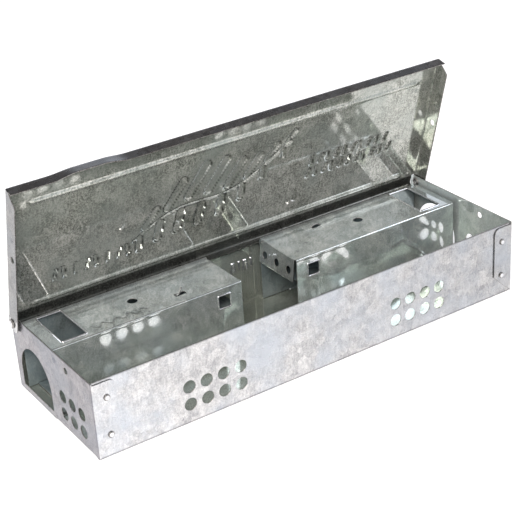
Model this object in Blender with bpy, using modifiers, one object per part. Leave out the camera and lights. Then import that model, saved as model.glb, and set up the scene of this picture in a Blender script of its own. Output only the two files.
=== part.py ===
"""Live catch trap: a folded sheet-steel box with a hinged lid and a see-saw entry tunnel at each end.

Metres, +Z up. The origin is at the middle of the floor's underside, X runs along the box,
and the hinge is along the +Y side. The lid is modelled standing open.
"""

import math

import bmesh
import bpy
from mathutils import Matrix, Vector

MM = 0.001

# ---- sheet and fits
SHEET = 0.5 * MM              # every folded piece is cut from this sheet
GAP = 0.3 * MM                # between two pieces that touch
PIN_GAP = 0.3 * MM            # round a shank in its hole
SIDE_GAP = 0.8 * MM           # between an end plate and the lid's side flange, room for the latch bumps
FOLD = 1.0 * MM               # outside radius of a fold

# ---- box
BOX_LENGTH = 267.0 * MM       # over the end plates
BOX_WIDTH = 88.4 * MM         # over the corner tabs
BOX_HEIGHT = 44.0 * MM        # to the top of the front wall and end plates
BACK_DROP = 7.0 * MM          # the back wall stops this far below the end plates
TAB_LENGTH = 13.0 * MM        # corner tabs, measured along the walls
TAB_FOOT = 1.6 * MM           # a tab starts this far above the floor's underside
FLOOR_FLANGE = 8.0 * MM       # flange of an end plate that lies on the floor

# ---- holes in the walls
VENT_RADIUS = 3.5 * MM
VENT_PITCH = 10.15 * MM
FRONT_VENTS = 65.3 * MM       # middle of a front group from the middle of the box
VENT_ROW = 11.0 * MM          # height of the lower row
END_VENTS = 19.8 * MM         # middle of an end group, in front of the middle of the box
ARCH_MARGIN = 1.2 * MM        # the arch is this much narrower than the tunnel behind it, at each side
ARCH_SILL = 4.0 * MM
LATCH_HEIGHT = 5.4 * MM       # latch marks, below the top of an end plate
LATCH_REAR, LATCH_FRONT = 4.6 * MM, 17.4 * MM   # in front of the middle of the box
LATCH_RADIUS = 1.8 * MM
LATCH_BUMP = 0.5 * MM

# ---- lid
LID_OPEN = math.radians(75.0)
HINGE_INSET = 5.1 * MM        # hinge axis in front of the back tabs' outer faces
HINGE_DROP = 3.4 * MM         # hinge axis below the top of the end plates
LIP = 6.3 * MM
SIDE_FLANGE = 10.0 * MM
REAR_FLANGE = 4.7 * MM
REAR_BEND = 2.5 * MM
REAR_FACE = 0.7 * MM          # rear flange in front of the back tabs' outer faces
NOTCH = 3.0 * MM              # the panel ends this far in front of the axis at the end plates
STRIP_GAP = 1.2 * MM          # rear strip from an end plate's inner face
BEAD_RADIUS = 1.3 * MM
BEAD_HEIGHT = 0.8 * MM
BEAD_REAR, BEAD_FRONT = 5.5 * MM, 71.0 * MM     # in front of the hinge axis
BEAD_END = 12.0 * MM          # a bead stops this far from the lid's ends
LIFT_AT = 91.0 * MM           # finger lift in the lip, left of the middle
LIFT_WIDE, LIFT_EASE = 24.0 * MM, 3.0 * MM      # its flat middle, and each slanted end
LIFT_OUT, LIFT_SPLAY = 1.0 * MM, 1.0 * MM       # how far its fold and its free edge stand out

# ---- tunnels
TUNNEL_WIDTH = 36.4 * MM
TUNNEL_DROP = 4.0 * MM        # tunnel tops below the end plates' tops
TUNNEL_END = 2.5 * MM         # outer end from an end plate's outer face
TUNNEL_GAP = 36.0 * MM        # between the two inner ends
END_FLANGE = 14.0 * MM
FLANGE_TILT = math.radians(7.0)
WINDOW_FROM, WINDOW_LONG, WINDOW_MARGIN = 8.0 * MM, 14.0 * MM, 3.4 * MM
SIDE_WINDOW, SIDE_WINDOW_FROM, SIDE_WINDOW_DROP = 7.5 * MM, 11.3 * MM, 8.5 * MM
TOP_HOLE_RADIUS = 2.7 * MM
FLANGE_HOLE_RADIUS, FLANGE_HOLE_PITCH = 2.2 * MM, 11.4 * MM
LANCE_FROM, LANCE_ASIDE = 33.0 * MM, 9.6 * MM
LANCE_LONG, LANCE_WIDE = 5.0 * MM, 1.6 * MM
FOOT_TAB = 6.0 * MM           # tabs that hold a tunnel in slots of the floor
FOOT_TAB_FROM = 22.0 * MM

# ---- ramps
RAMP_START = 5.0 * MM         # outer end from the tunnel's outer end
RAMP_STOP = 2.0 * MM          # inner end from the tunnel's inner end
RAMP_SIDE = 0.7 * MM          # from the tunnel's inner faces
RAMP_FOOT = 0.5 * MM          # outer end above the floor
RAMP_UNDER = 1.0 * MM         # inner end below the end flange
RAMP_EASE = 26.0 * MM         # length of the curved outer part
RAMP_LIP = 18.0 * MM          # length of the flatter inner part
PIVOT_AT = 0.47               # pin from the inner end, as a share of the ramp's length
PIN_RADIUS = 1.0 * MM
PIN_UNDER = 2.4 * MM          # pin's axis below the plate
EAR = 2.5 * MM                # radius of the ears round the pin

# ---- rivets
CLINCH_SHANK, CLINCH_HEAD, CLINCH_DOME = 0.9 * MM, 1.7 * MM, 0.7 * MM
CLINCH_LOW = 13.0 * MM        # lower rivet above the floor's underside
CLINCH_DROP = 10.0 * MM       # upper rivet below the rim
CLINCH_IN = 7.7 * MM          # from an end plate's outer face
HINGE_SHANK, HINGE_HEAD, HINGE_DOME = 1.5 * MM, 2.6 * MM, 1.0 * MM

# ---- sizes that follow
HALF = BOX_LENGTH / 2
SIDE = BOX_WIDTH / 2
PLATE_IN = HALF - SHEET
WALL_OUT = SIDE - SHEET - GAP
WALL_IN = WALL_OUT - SHEET
CHANNEL_END = PLATE_IN - GAP
BACK_TOP = BOX_HEIGHT - BACK_DROP
HINGE = Vector((0.0, SIDE - HINGE_INSET, BOX_HEIGHT - HINGE_DROP))
LID_TOP = BOX_HEIGHT + GAP + SHEET
LID_SIDE = HALF + SIDE_GAP + SHEET
LID_FRONT = -(SIDE + GAP + SHEET)
TUNNEL_BACK = HINGE.y
TUNNEL_FRONT = TUNNEL_BACK - TUNNEL_WIDTH
TUNNEL_MID = (TUNNEL_BACK + TUNNEL_FRONT) / 2
TUNNEL_TOP = BOX_HEIGHT - TUNNEL_DROP
TUNNEL_OUT = HALF - TUNNEL_END
TUNNEL_IN = TUNNEL_GAP / 2
FLANGE_FOOT = TUNNEL_TOP - END_FLANGE
ARCH_RADIUS = TUNNEL_WIDTH / 2 - ARCH_MARGIN
CLINCH_HIGH = BOX_HEIGHT - CLINCH_DROP
RAMP_OUT = TUNNEL_OUT - RAMP_START
RAMP_IN = TUNNEL_IN + RAMP_STOP
RAMP_LENGTH = RAMP_OUT - RAMP_IN
RAMP_LOW = SHEET + RAMP_FOOT + SHEET
RAMP_HIGH = FLANGE_FOOT - RAMP_UNDER
PIN_X = RAMP_IN + PIVOT_AT * RAMP_LENGTH

STEEL = {
    "galvanised body": ((0.62, 0.63, 0.66, 1.0), 0.32),
    "galvanised lid": ((0.50, 0.52, 0.50, 1.0), 0.24),
    "galvanised tunnel": ((0.55, 0.58, 0.60, 1.0), 0.28),
    "galvanised ramp": ((0.46, 0.50, 0.52, 1.0), 0.25),
    "zinc rivet": ((0.70, 0.70, 0.70, 1.0), 0.30),
}

for old in list(bpy.data.objects):
    bpy.data.objects.remove(old, do_unlink=True)

PARTS = bpy.data.collections.new("live_catch_trap")
CUTTERS = bpy.data.collections.new("live_catch_trap_cutters")
for group in (PARTS, CUTTERS):
    bpy.context.scene.collection.children.link(group)


def material(name):
    """One Principled metal for each kind of sheet."""
    found = bpy.data.materials.get(name)
    if found:
        return found
    color, roughness = STEEL[name]
    made = bpy.data.materials.new(name)
    made.use_nodes = True
    shader = made.node_tree.nodes["Principled BSDF"]
    shader.inputs["Base Color"].default_value = color
    shader.inputs["Metallic"].default_value = 1.0
    shader.inputs["Roughness"].default_value = roughness
    return made


def put(name, bm, finish=None, pivot=None):
    """Writes a bmesh as an object, as a part if it has a finish and as a cutter if not."""
    if pivot is not None:
        bmesh.ops.translate(bm, verts=bm.verts, vec=-pivot)
    mesh = bpy.data.meshes.new(name)
    bm.to_mesh(mesh)
    bm.free()
    made = bpy.data.objects.new(name, mesh)
    if pivot is not None:
        made.location = pivot
    if finish:
        mesh.materials.append(material(finish))
        PARTS.objects.link(made)
    else:
        made.hide_render = True
        made.display_type = "WIRE"
        CUTTERS.objects.link(made)
    return made


def grid(bm, x, y, z):
    """A flat rectangle at height z, x and y given as pairs."""
    spread = Matrix.Diagonal((x[1] - x[0], y[1] - y[0], 1, 1))
    place = Matrix.Translation(((x[0] + x[1]) / 2, (y[0] + y[1]) / 2, z)) @ spread
    bmesh.ops.create_grid(bm, x_segments=1, y_segments=1, size=0.5, matrix=place)


def edges_at(bm, test):
    """The edges whose two ends both pass the test."""
    return [edge for edge in bm.edges if all(test(vert.co) for vert in edge.verts)]


def near(value, target):
    return abs(value - target) < 1e-6


def fold(bm, edges, *moves):
    """Folds new strips out of an edge, one strip for each move."""
    for move in moves:
        grown = bmesh.ops.extrude_edge_only(bm, edges=edges)["geom"]
        ends = [item for item in grown if isinstance(item, bmesh.types.BMVert)]
        bmesh.ops.translate(bm, verts=ends, vec=Vector(move))
        edges = [item for item in grown if isinstance(item, bmesh.types.BMEdge)]
    return edges


def round_folds(bm, edges, radius, segments=3):
    bmesh.ops.bevel(bm, geom=edges, offset=radius, offset_type="OFFSET", segments=segments,
                    profile=0.5, affect="EDGES", clamp_overlap=True)


def round_corners(bm, test, radius, segments=5):
    """Rounds the outline's corners that pass the test, in the plane of the sheet."""
    corners = [vert for vert in bm.verts if test(vert.co)]
    bmesh.ops.bevel(bm, geom=corners, offset=radius, offset_type="OFFSET", segments=segments,
                    profile=0.5, affect="VERTICES", clamp_overlap=True)


def face_out(bm, direction):
    """Makes the normals agree, the largest face looking along the direction."""
    bmesh.ops.recalc_face_normals(bm, faces=bm.faces)
    widest = max(bm.faces, key=lambda face: face.calc_area())
    if widest.normal.dot(Vector(direction)) < 0:
        bmesh.ops.reverse_faces(bm, faces=bm.faces)


def thicken(made):
    """The modelled surface is the outside of the folds, so the sheet grows inwards."""
    solid = made.modifiers.new("sheet", "SOLIDIFY")
    solid.thickness = SHEET
    solid.offset = -1.0
    solid.use_even_offset = True


def box(bm, x, y, z):
    size = Matrix.Diagonal((x[1] - x[0], y[1] - y[0], z[1] - z[0], 1))
    middle = Vector(((x[0] + x[1]) / 2, (y[0] + y[1]) / 2, (z[0] + z[1]) / 2))
    bmesh.ops.create_cube(bm, size=1.0, matrix=Matrix.Translation(middle) @ size)


def rod(bm, centre, axis, radius, length, sides=24):
    """A cylinder centred on a point and running along X, Y or Z."""
    turn = {"X": Matrix.Rotation(math.pi / 2, 4, "Y"), "Y": Matrix.Rotation(math.pi / 2, 4, "X"),
            "Z": Matrix.Identity(4)}[axis]
    bmesh.ops.create_cone(bm, cap_ends=True, segments=sides, radius1=radius, radius2=radius,
                          depth=length, matrix=Matrix.Translation(centre) @ turn)


def prism(bm, outline, move):
    """A flat outline pushed along a vector."""
    face = bm.faces.new([bm.verts.new(point) for point in outline])
    grown = bmesh.ops.extrude_face_region(bm, geom=[face])["geom"]
    ends = [item for item in grown if isinstance(item, bmesh.types.BMVert)]
    bmesh.ops.translate(bm, verts=ends, vec=Vector(move))
    bmesh.ops.recalc_face_normals(bm, faces=bm.faces)


def combine(made, other, operation):
    modifier = made.modifiers.new(operation.lower(), "BOOLEAN")
    modifier.operation = operation
    modifier.solver = "EXACT"
    modifier.object = other


def turned(name, profile, finish, place, axis):
    """A solid of revolution: the profile is (radius, height) pairs, top to bottom."""
    bm = bmesh.new()
    points = [bm.verts.new((radius, 0.0, height)) for radius, height in profile]
    for first, second in zip(points, points[1:]):
        bm.edges.new((first, second))
    made = put(name, bm, finish)
    made.location = place
    made.rotation_euler = axis
    screw = made.modifiers.new("turn", "SCREW")
    screw.axis = "Z"
    screw.steps = screw.render_steps = 16
    screw.use_merge_vertices = True
    screw.merge_threshold = 0.00001
    made.data.shade_smooth()
    return made


def dome(radius, height, base, side, steps=3):
    """Points of a domed head from its crown (or to it), at a base height, looking to one side."""
    points = []
    for step in range(steps + 1):
        angle = math.pi / 2 * step / steps
        points.append((radius * math.sin(angle), base + side * height * math.cos(angle)))
    return points


def rivet_profile(shank, head, rise, upper, lower):
    """A shank between two domed heads whose seats are at the upper and lower heights."""
    return dome(head, rise, upper, 1) + [(shank, upper), (shank, lower)] + dome(head, rise, lower, -1)[::-1]


# ---- channel body: floor, front wall and lower back wall folded from one sheet
bm = bmesh.new()
grid(bm, (-CHANNEL_END, CHANNEL_END), (-WALL_OUT, WALL_OUT), 0.0)
fold(bm, edges_at(bm, lambda co: near(co.y, -WALL_OUT)), (0, 0, BOX_HEIGHT))
fold(bm, edges_at(bm, lambda co: near(co.y, WALL_OUT) and near(co.z, 0)), (0, 0, BACK_TOP))
round_folds(bm, edges_at(bm, lambda co: near(abs(co.y), WALL_OUT) and near(co.z, 0)), FOLD)
face_out(bm, (0, 0, -1))
channel = put("channel_body", bm, "galvanised body")
thicken(channel)

cut = bmesh.new()
for group in (-FRONT_VENTS, FRONT_VENTS):
    for column in (-1.5, -0.5, 0.5, 1.5):
        for row in (0, 1):
            spot = (group + column * VENT_PITCH, -WALL_OUT, VENT_ROW + row * VENT_PITCH)
            rod(cut, Vector(spot), "Y", VENT_RADIUS, 6 * MM)
for end in (-1, 1):
    for face in (-1, 1):
        for height in (CLINCH_LOW, CLINCH_HIGH):
            spot = (end * (HALF - CLINCH_IN), face * WALL_OUT, height)
            rod(cut, Vector(spot), "Y", CLINCH_SHANK + PIN_GAP, 6 * MM, 16)
    for side_y in (TUNNEL_FRONT + SHEET / 2, TUNNEL_BACK - SHEET / 2):
        for inset in (FOOT_TAB_FROM, TUNNEL_OUT - TUNNEL_IN - FOOT_TAB_FROM):
            middle = end * (TUNNEL_OUT - inset)
            reach = FOOT_TAB / 2 + GAP
            box(cut, (middle - reach, middle + reach),
                (side_y - SHEET / 2 - GAP, side_y + SHEET / 2 + GAP), (-2 * MM, 2 * MM))
combine(channel, put("cut_channel", cut), "DIFFERENCE")


# ---- end plates: entrance arch, vents, tabs lapped outside the walls, and a flange on the floor
def arch_outline(x):
    """Two straight sides on the sill and a half circle over them."""
    spring = ARCH_SILL + 10.5 * MM
    points = [(x, TUNNEL_MID + ARCH_RADIUS, ARCH_SILL), (x, TUNNEL_MID - ARCH_RADIUS, ARCH_SILL)]
    for step in range(25):
        angle = math.pi * (1 - step / 24)
        points.append((x, TUNNEL_MID + ARCH_RADIUS * math.cos(angle), spring + ARCH_RADIUS * math.sin(angle)))
    return points


def end_plate(name, end):
    bm = bmesh.new()
    bottom = SHEET + GAP
    grid(bm, (0, HALF), (-SIDE, SIDE), bottom)
    bmesh.ops.delete(bm, geom=edges_at(bm, lambda co: near(co.x, 0)), context="EDGES")
    for vert in [vert for vert in bm.verts if near(vert.co.x, 0)]:
        bm.verts.remove(vert)
    fold(bm, list(bm.edges), (0, 0, BOX_HEIGHT - bottom))
    for side in (-1, 1):
        fold(bm, edges_at(bm, lambda co, side=side: near(co.y, side * SIDE) and near(co.x, HALF)),
             (-TAB_LENGTH, 0, 0))
    folds = edges_at(bm, lambda co: near(abs(co.y), SIDE) and near(co.x, HALF))
    round_folds(bm, folds, FOLD)
    face_out(bm, (1, 0, 0))
    if end < 0:
        bmesh.ops.scale(bm, verts=bm.verts, vec=(-1, 1, 1))
        bmesh.ops.reverse_faces(bm, faces=bm.faces)
    made = put(name, bm, "galvanised body")
    thicken(made)

    floor = bmesh.new()
    box(floor, sorted((end * (HALF - FLOOR_FLANGE), end * (HALF - SHEET / 2))),
        (-WALL_IN + 2 * MM, TUNNEL_FRONT - MM), (bottom, bottom + SHEET))
    combine(made, put(f"join_{name}", floor), "UNION")

    cut = bmesh.new()
    outline = arch_outline(end * (HALF - 4 * MM))
    prism(cut, outline, (end * 8 * MM, 0, 0))
    for column in (-1, 0, 1):
        for row in (0, 1):
            spot = (end * HALF, -END_VENTS + column * VENT_PITCH, VENT_ROW - 1.2 * MM + row * VENT_PITCH)
            rod(cut, Vector(spot), "X", VENT_RADIUS, 6 * MM)
    rod(cut, Vector((end * HALF, HINGE.y, HINGE.z)), "X", HINGE_SHANK + PIN_GAP, 6 * MM)
    rod(cut, Vector((end * HALF, -LATCH_FRONT, BOX_HEIGHT - LATCH_HEIGHT)), "X", LATCH_RADIUS, 6 * MM, 16)
    for face in (-1, 1):
        for height in (CLINCH_LOW, CLINCH_HIGH):
            rod(cut, Vector((end * (HALF - CLINCH_IN), face * SIDE, height)), "Y",
                CLINCH_SHANK + PIN_GAP, 4 * MM, 16)
        # the tabs start above the floor's fold, end in a slanted foot and stop below the rim
        tip, root = end * (HALF - TAB_LENGTH - 2 * MM), end * (HALF - FOLD - 0.4 * MM)
        slant = end * (HALF - TAB_LENGTH - 0.2 * MM)
        y0 = face * (SIDE + MM)
        move = (0, -face * (MM + SHEET + GAP / 2), 0)
        prism(cut, [(root, y0, -MM), (root, y0, TAB_FOOT), (slant, y0, TAB_FOOT + TAB_LENGTH - FOLD),
                    (tip, y0, TAB_FOOT + TAB_LENGTH - FOLD), (tip, y0, -MM)], move)
        top = BOX_HEIGHT - 1.2 * MM if face < 0 else BACK_TOP - MM
        prism(cut, [(root, y0, top), (root, y0, BOX_HEIGHT + MM), (tip, y0, BOX_HEIGHT + MM),
                    (tip, y0, top)], move)
    combine(made, put(f"cut_{name}", cut), "DIFFERENCE")

    bump = bmesh.new()
    centre = Vector((end * (HALF - SHEET / 2), -LATCH_REAR, BOX_HEIGHT - LATCH_HEIGHT))
    bmesh.ops.create_uvsphere(bump, u_segments=16, v_segments=8, radius=1.0,
                              matrix=Matrix.Translation(centre)
                              @ Matrix.Diagonal((LATCH_BUMP + SHEET / 2, LATCH_RADIUS * 0.8, LATCH_RADIUS * 0.8, 1)))
    combine(made, put(f"bump_{name}", bump), "UNION")
    return made


end_plate("left_end_plate", -1)
end_plate("right_end_plate", 1)


# ---- lid: modelled shut, then swung open about the hinge
bm = bmesh.new()
panel_back = HINGE.y - NOTCH
strip_half = PLATE_IN - STRIP_GAP
rear = SIDE - REAR_FACE
grid(bm, (-strip_half, strip_half), (LID_FRONT, panel_back), LID_TOP)
for reach in (LIFT_WIDE / 2, LIFT_WIDE / 2 + LIFT_EASE):
    for side in (-1, 1):
        bmesh.ops.bisect_plane(bm, geom=bm.verts[:] + bm.edges[:] + bm.faces[:], dist=1e-7,
                               plane_co=(-LIFT_AT + side * reach, 0, 0), plane_no=(1, 0, 0))
for side in (-1, 1):
    fold(bm, edges_at(bm, lambda co, side=side: near(co.x, side * strip_half)),
         (side * (LID_SIDE - strip_half), 0, 0))
    fold(bm, edges_at(bm, lambda co, side=side: near(co.x, side * LID_SIDE)), (0, 0, -SIDE_FLANGE))
    fold(bm, edges_at(bm, lambda co, side=side: near(co.x, side * LID_SIDE) and near(co.y, panel_back)),
         (0, HINGE.y + 4.2 * MM - panel_back, 0))
fold(bm, edges_at(bm, lambda co: near(co.y, LID_FRONT) and near(co.z, LID_TOP)
                  and abs(co.x) < LID_SIDE + MM), (0, 0, -LIP))
fold(bm, edges_at(bm, lambda co: near(co.y, panel_back) and near(co.z, LID_TOP)
                  and abs(co.x) < strip_half + 0.1 * MM), (0, rear - panel_back, 0), (0, 0, -REAR_FLANGE))
for vert in bm.verts:
    if near(vert.co.y, LID_FRONT) and abs(vert.co.x + LIFT_AT) < LIFT_WIDE / 2 + 1e-6:
        vert.co.y -= LIFT_OUT if near(vert.co.z, LID_TOP) else LIFT_OUT + LIFT_SPLAY
round_corners(bm, lambda co: near(co.y, HINGE.y + 4.2 * MM), 3.9 * MM, 6)
round_folds(bm, edges_at(bm, lambda co: near(co.y, rear) and near(co.z, LID_TOP)), REAR_BEND, 5)
face_out(bm, (0, 0, 1))
swing = Matrix.Rotation(-LID_OPEN, 4, "X")
bmesh.ops.translate(bm, verts=bm.verts, vec=-HINGE)
bmesh.ops.transform(bm, matrix=swing, verts=bm.verts)
lid = put("lid", bm, "galvanised lid")
lid.location = HINGE
thicken(lid)


def on_lid(bm):
    """Moves what is modelled round the shut lid to where the open lid is."""
    bmesh.ops.translate(bm, verts=bm.verts, vec=-HINGE)
    bmesh.ops.transform(bm, matrix=swing, verts=bm.verts)
    bmesh.ops.translate(bm, verts=bm.verts, vec=HINGE)
    return bm


def bead(bm, y, z, radius, height, reach):
    """A long rounded rib hanging below a height, tapering away at both ends."""
    outline = []
    for step in range(9):
        angle = math.pi * step / 8
        outline.append((-reach, y + radius * math.cos(angle), z - height * math.sin(angle)))
    prism(bm, outline, (2 * reach, 0, 0))
    for vert in bm.verts:
        if near(abs(vert.co.x), reach) and vert.co.z < z - 1e-7 and abs(vert.co.y - y) < radius:
            vert.co.x -= math.copysign(2.2 * MM * (z - vert.co.z) / height, vert.co.x)


ribs, grooves = bmesh.new(), bmesh.new()
for back in (BEAD_REAR, BEAD_FRONT):
    y = HINGE.y - back
    under = LID_TOP - SHEET
    bead(ribs, y, under + SHEET / 2, BEAD_RADIUS, BEAD_HEIGHT + SHEET / 2, LID_SIDE - BEAD_END)
    bead(grooves, y, LID_TOP + SHEET, BEAD_RADIUS - SHEET / 2, BEAD_HEIGHT + SHEET, LID_SIDE - BEAD_END - MM)
combine(lid, put("lid_ribs", on_lid(ribs)), "UNION")
combine(lid, put("lid_grooves", on_lid(grooves)), "DIFFERENCE")

cut = bmesh.new()
for side in (-1, 1):
    rod(cut, Vector((side * LID_SIDE, HINGE.y, HINGE.z)), "X", HINGE_SHANK + PIN_GAP, 4 * MM)
    rod(cut, Vector((side * LID_SIDE, -LATCH_REAR, BOX_HEIGHT - LATCH_HEIGHT)), "X", LATCH_RADIUS, 4 * MM, 16)
combine(lid, put("lid_holes", on_lid(cut)), "DIFFERENCE")

bumps = bmesh.new()
for side in (-1, 1):
    centre = Vector((side * (LID_SIDE - SHEET / 2), -LATCH_FRONT, BOX_HEIGHT - LATCH_HEIGHT))
    bmesh.ops.create_uvsphere(bumps, u_segments=16, v_segments=8, radius=1.0,
                              matrix=Matrix.Translation(centre)
                              @ Matrix.Diagonal((LATCH_BUMP + SHEET / 2, LATCH_RADIUS * 0.8, LATCH_RADIUS * 0.8, 1)))
combine(lid, put("lid_bumps", on_lid(bumps)), "UNION")


# ---- tunnels: an inverted U with a flange turned down over the inner end
def tunnel(name, end):
    bm = bmesh.new()
    foot = SHEET + GAP
    grid(bm, sorted((end * TUNNEL_IN, end * TUNNEL_OUT)), (TUNNEL_FRONT, TUNNEL_BACK), TUNNEL_TOP)
    for y in (TUNNEL_FRONT, TUNNEL_BACK):
        fold(bm, edges_at(bm, lambda co, y=y: near(co.y, y)), (0, 0, foot - TUNNEL_TOP))
    round_folds(bm, edges_at(bm, lambda co: near(co.z, TUNNEL_TOP)
                             and (near(co.y, TUNNEL_FRONT) or near(co.y, TUNNEL_BACK))), FOLD)
    face_out(bm, (0, 0, 1))
    made = put(name, bm, "galvanised tunnel")
    thicken(made)

    joined = bmesh.new()
    inner = end * TUNNEL_IN
    lean = END_FLANGE * math.tan(FLANGE_TILT)
    edge_y = TUNNEL_FRONT + SHEET + 0.8 * MM
    top = TUNNEL_TOP - SHEET / 2
    outline = [(inner + end * 2 * MM, edge_y, top), (inner, edge_y, top),
               (inner - end * lean, edge_y, FLANGE_FOOT),
               (inner - end * (lean - SHEET), edge_y, FLANGE_FOOT),
               (inner + end * SHEET, edge_y, top - SHEET), (inner + end * 2 * MM, edge_y, top - SHEET)]
    prism(joined, outline, (0, 2 * (TUNNEL_MID - edge_y), 0))
    for y in (TUNNEL_FRONT, TUNNEL_BACK - SHEET):
        for inset in (FOOT_TAB_FROM, TUNNEL_OUT - TUNNEL_IN - FOOT_TAB_FROM):
            middle = end * (TUNNEL_OUT - inset)
            box(joined, (middle - FOOT_TAB / 2, middle + FOOT_TAB / 2), (y, y + SHEET), (0.1 * MM, foot + MM))
    tongue_x = end * (TUNNEL_IN + LANCE_FROM)
    tongue_y = TUNNEL_MID + end * LANCE_ASIDE
    combine(made, put(f"join_{name}", joined), "UNION")

    cut = bmesh.new()
    near_x = end * (TUNNEL_OUT - WINDOW_FROM)
    far_x = end * (TUNNEL_OUT - WINDOW_FROM - WINDOW_LONG)
    box(cut, sorted((near_x, far_x)), (TUNNEL_FRONT + WINDOW_MARGIN, TUNNEL_BACK - WINDOW_MARGIN),
        (TUNNEL_TOP - 3 * MM, TUNNEL_TOP + 3 * MM))
    side_x = end * (TUNNEL_IN + SIDE_WINDOW_FROM)
    side_z = TUNNEL_TOP - SIDE_WINDOW_DROP
    for y in (TUNNEL_FRONT, TUNNEL_BACK):
        box(cut, (side_x - SIDE_WINDOW / 2, side_x + SIDE_WINDOW / 2), (y - 3 * MM, y + 3 * MM),
            (side_z - SIDE_WINDOW / 2, side_z + SIDE_WINDOW / 2))
        rod(cut, Vector((end * PIN_X, y, pin_height())), "Y", PIN_RADIUS + PIN_GAP, 4 * MM, 20)
    middle_x = end * (TUNNEL_OUT + TUNNEL_IN) / 2
    rod(cut, Vector((middle_x, TUNNEL_MID, TUNNEL_TOP)), "Z", TOP_HOLE_RADIUS, 6 * MM)
    for step in (-1, 0, 1):
        spot = Vector((inner, TUNNEL_MID + step * FLANGE_HOLE_PITCH, TUNNEL_TOP - 8.2 * MM))
        rod(cut, spot, "X", FLANGE_HOLE_RADIUS, 10 * MM, 16)
    box(cut, (tongue_x - LANCE_LONG / 2, tongue_x + LANCE_LONG / 2),
        (tongue_y - LANCE_WIDE / 2, tongue_y + LANCE_WIDE / 2), (TUNNEL_TOP - 3 * MM, TUNNEL_TOP + 3 * MM))
    combine(made, put(f"cut_{name}", cut), "DIFFERENCE")
    return made


# ---- ramps: a plate that eases up from the floor, climbs, and levels towards its inner end
def ramp_height(along):
    """Top of the plate at a distance from its outer end. Its slope eases in, holds, and eases out."""
    steep = (RAMP_HIGH - RAMP_LOW) / (RAMP_LENGTH - 0.5 * RAMP_EASE - 0.35 * RAMP_LIP)
    if along < RAMP_EASE:
        return RAMP_LOW + 0.5 * steep * along * along / RAMP_EASE
    straight = min(along, RAMP_LENGTH - RAMP_LIP)
    height = RAMP_LOW + steep * (straight - 0.5 * RAMP_EASE)
    past = max(0.0, along - (RAMP_LENGTH - RAMP_LIP))
    return height + 0.65 * steep * past


def pin_height():
    """The pin lies below the plate where the ramp balances."""
    return ramp_height((1 - PIVOT_AT) * RAMP_LENGTH) - SHEET - PIN_UNDER


def ramp(name, end):
    stations = [RAMP_EASE * step / 5 for step in range(6)] + [RAMP_LENGTH - RAMP_LIP, RAMP_LENGTH]
    front, back = TUNNEL_FRONT + SHEET + RAMP_SIDE, TUNNEL_BACK - SHEET - RAMP_SIDE
    bm = bmesh.new()
    line = [bm.verts.new((end * (RAMP_OUT - along), front, ramp_height(along))) for along in stations]
    edges = [bm.edges.new(pair) for pair in zip(line, line[1:])]
    fold(bm, edges, (0, back - front, 0))
    face_out(bm, (0, 0, 1))
    pivot = Vector((end * PIN_X, TUNNEL_MID, pin_height()))
    made = put(name, bm, "galvanised ramp", pivot)
    thicken(made)

    ears = bmesh.new()
    for y in (front, back - SHEET):
        outline = []
        for step in range(13):
            angle = -math.pi * step / 12
            outline.append((pivot.x + EAR * math.cos(angle), y, pivot.z + EAR * math.sin(angle)))
        slope = -end * (ramp_height(0.5 * RAMP_LENGTH + MM) - ramp_height(0.5 * RAMP_LENGTH)) / MM
        top = pivot.z + PIN_UNDER + SHEET / 2
        outline += [(pivot.x - EAR, y, top - slope * EAR), (pivot.x + EAR, y, top + slope * EAR)]
        prism(ears, outline, (0, SHEET, 0))
    combine(made, put(f"ears_{name}", ears), "UNION")
    cut = bmesh.new()
    rod(cut, pivot, "Y", PIN_RADIUS + PIN_GAP, TUNNEL_WIDTH, 20)
    combine(made, put(f"cut_{name}", cut), "DIFFERENCE")
    return made


for prefix, end in (("left", -1), ("right", 1)):
    tunnel(f"{prefix}_tunnel", end)
    ramp(f"{prefix}_ramp", end)
    seat = TUNNEL_WIDTH / 2 + GAP
    turned(f"{prefix}_ramp_pin", rivet_profile(PIN_RADIUS, 1.9 * MM, 0.7 * MM, seat, -seat), "zinc rivet",
           (end * PIN_X, TUNNEL_MID, pin_height()), (math.pi / 2, 0, 0))
    # the pivot rivet joins the lid's ear to the end plate
    outer, inner = LID_SIDE + GAP, PLATE_IN - GAP
    turned(f"{prefix}_lid_rivet", rivet_profile(HINGE_SHANK, HINGE_HEAD, HINGE_DOME, outer, inner), "zinc rivet",
           (0, HINGE.y, HINGE.z), (0, end * math.pi / 2, 0))
    for face, word in ((-1, "front"), (1, "back")):
        for height, level in ((CLINCH_LOW, "lower"), (CLINCH_HIGH, "upper")):
            turned(f"{prefix}_{word}_{level}_rivet",
                   rivet_profile(CLINCH_SHANK, CLINCH_HEAD, CLINCH_DOME, SIDE + GAP, WALL_IN - GAP),
                   "zinc rivet", (end * (HALF - CLINCH_IN), 0, height), (-face * math.pi / 2, 0, 0))
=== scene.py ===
import math
import time

import bmesh
import bpy
import numpy as np
from mathutils import Matrix, Vector


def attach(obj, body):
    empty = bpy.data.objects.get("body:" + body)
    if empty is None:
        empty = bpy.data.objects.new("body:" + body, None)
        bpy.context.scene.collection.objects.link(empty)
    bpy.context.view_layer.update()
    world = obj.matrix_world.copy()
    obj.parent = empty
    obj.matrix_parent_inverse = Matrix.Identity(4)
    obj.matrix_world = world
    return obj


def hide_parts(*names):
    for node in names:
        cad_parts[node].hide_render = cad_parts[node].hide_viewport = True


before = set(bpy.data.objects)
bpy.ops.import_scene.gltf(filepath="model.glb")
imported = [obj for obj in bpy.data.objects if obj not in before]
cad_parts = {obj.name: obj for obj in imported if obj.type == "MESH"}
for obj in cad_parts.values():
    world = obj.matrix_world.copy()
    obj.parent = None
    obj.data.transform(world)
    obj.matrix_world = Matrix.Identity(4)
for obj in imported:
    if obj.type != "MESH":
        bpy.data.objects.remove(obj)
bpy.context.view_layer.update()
startTime = time.time()
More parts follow.
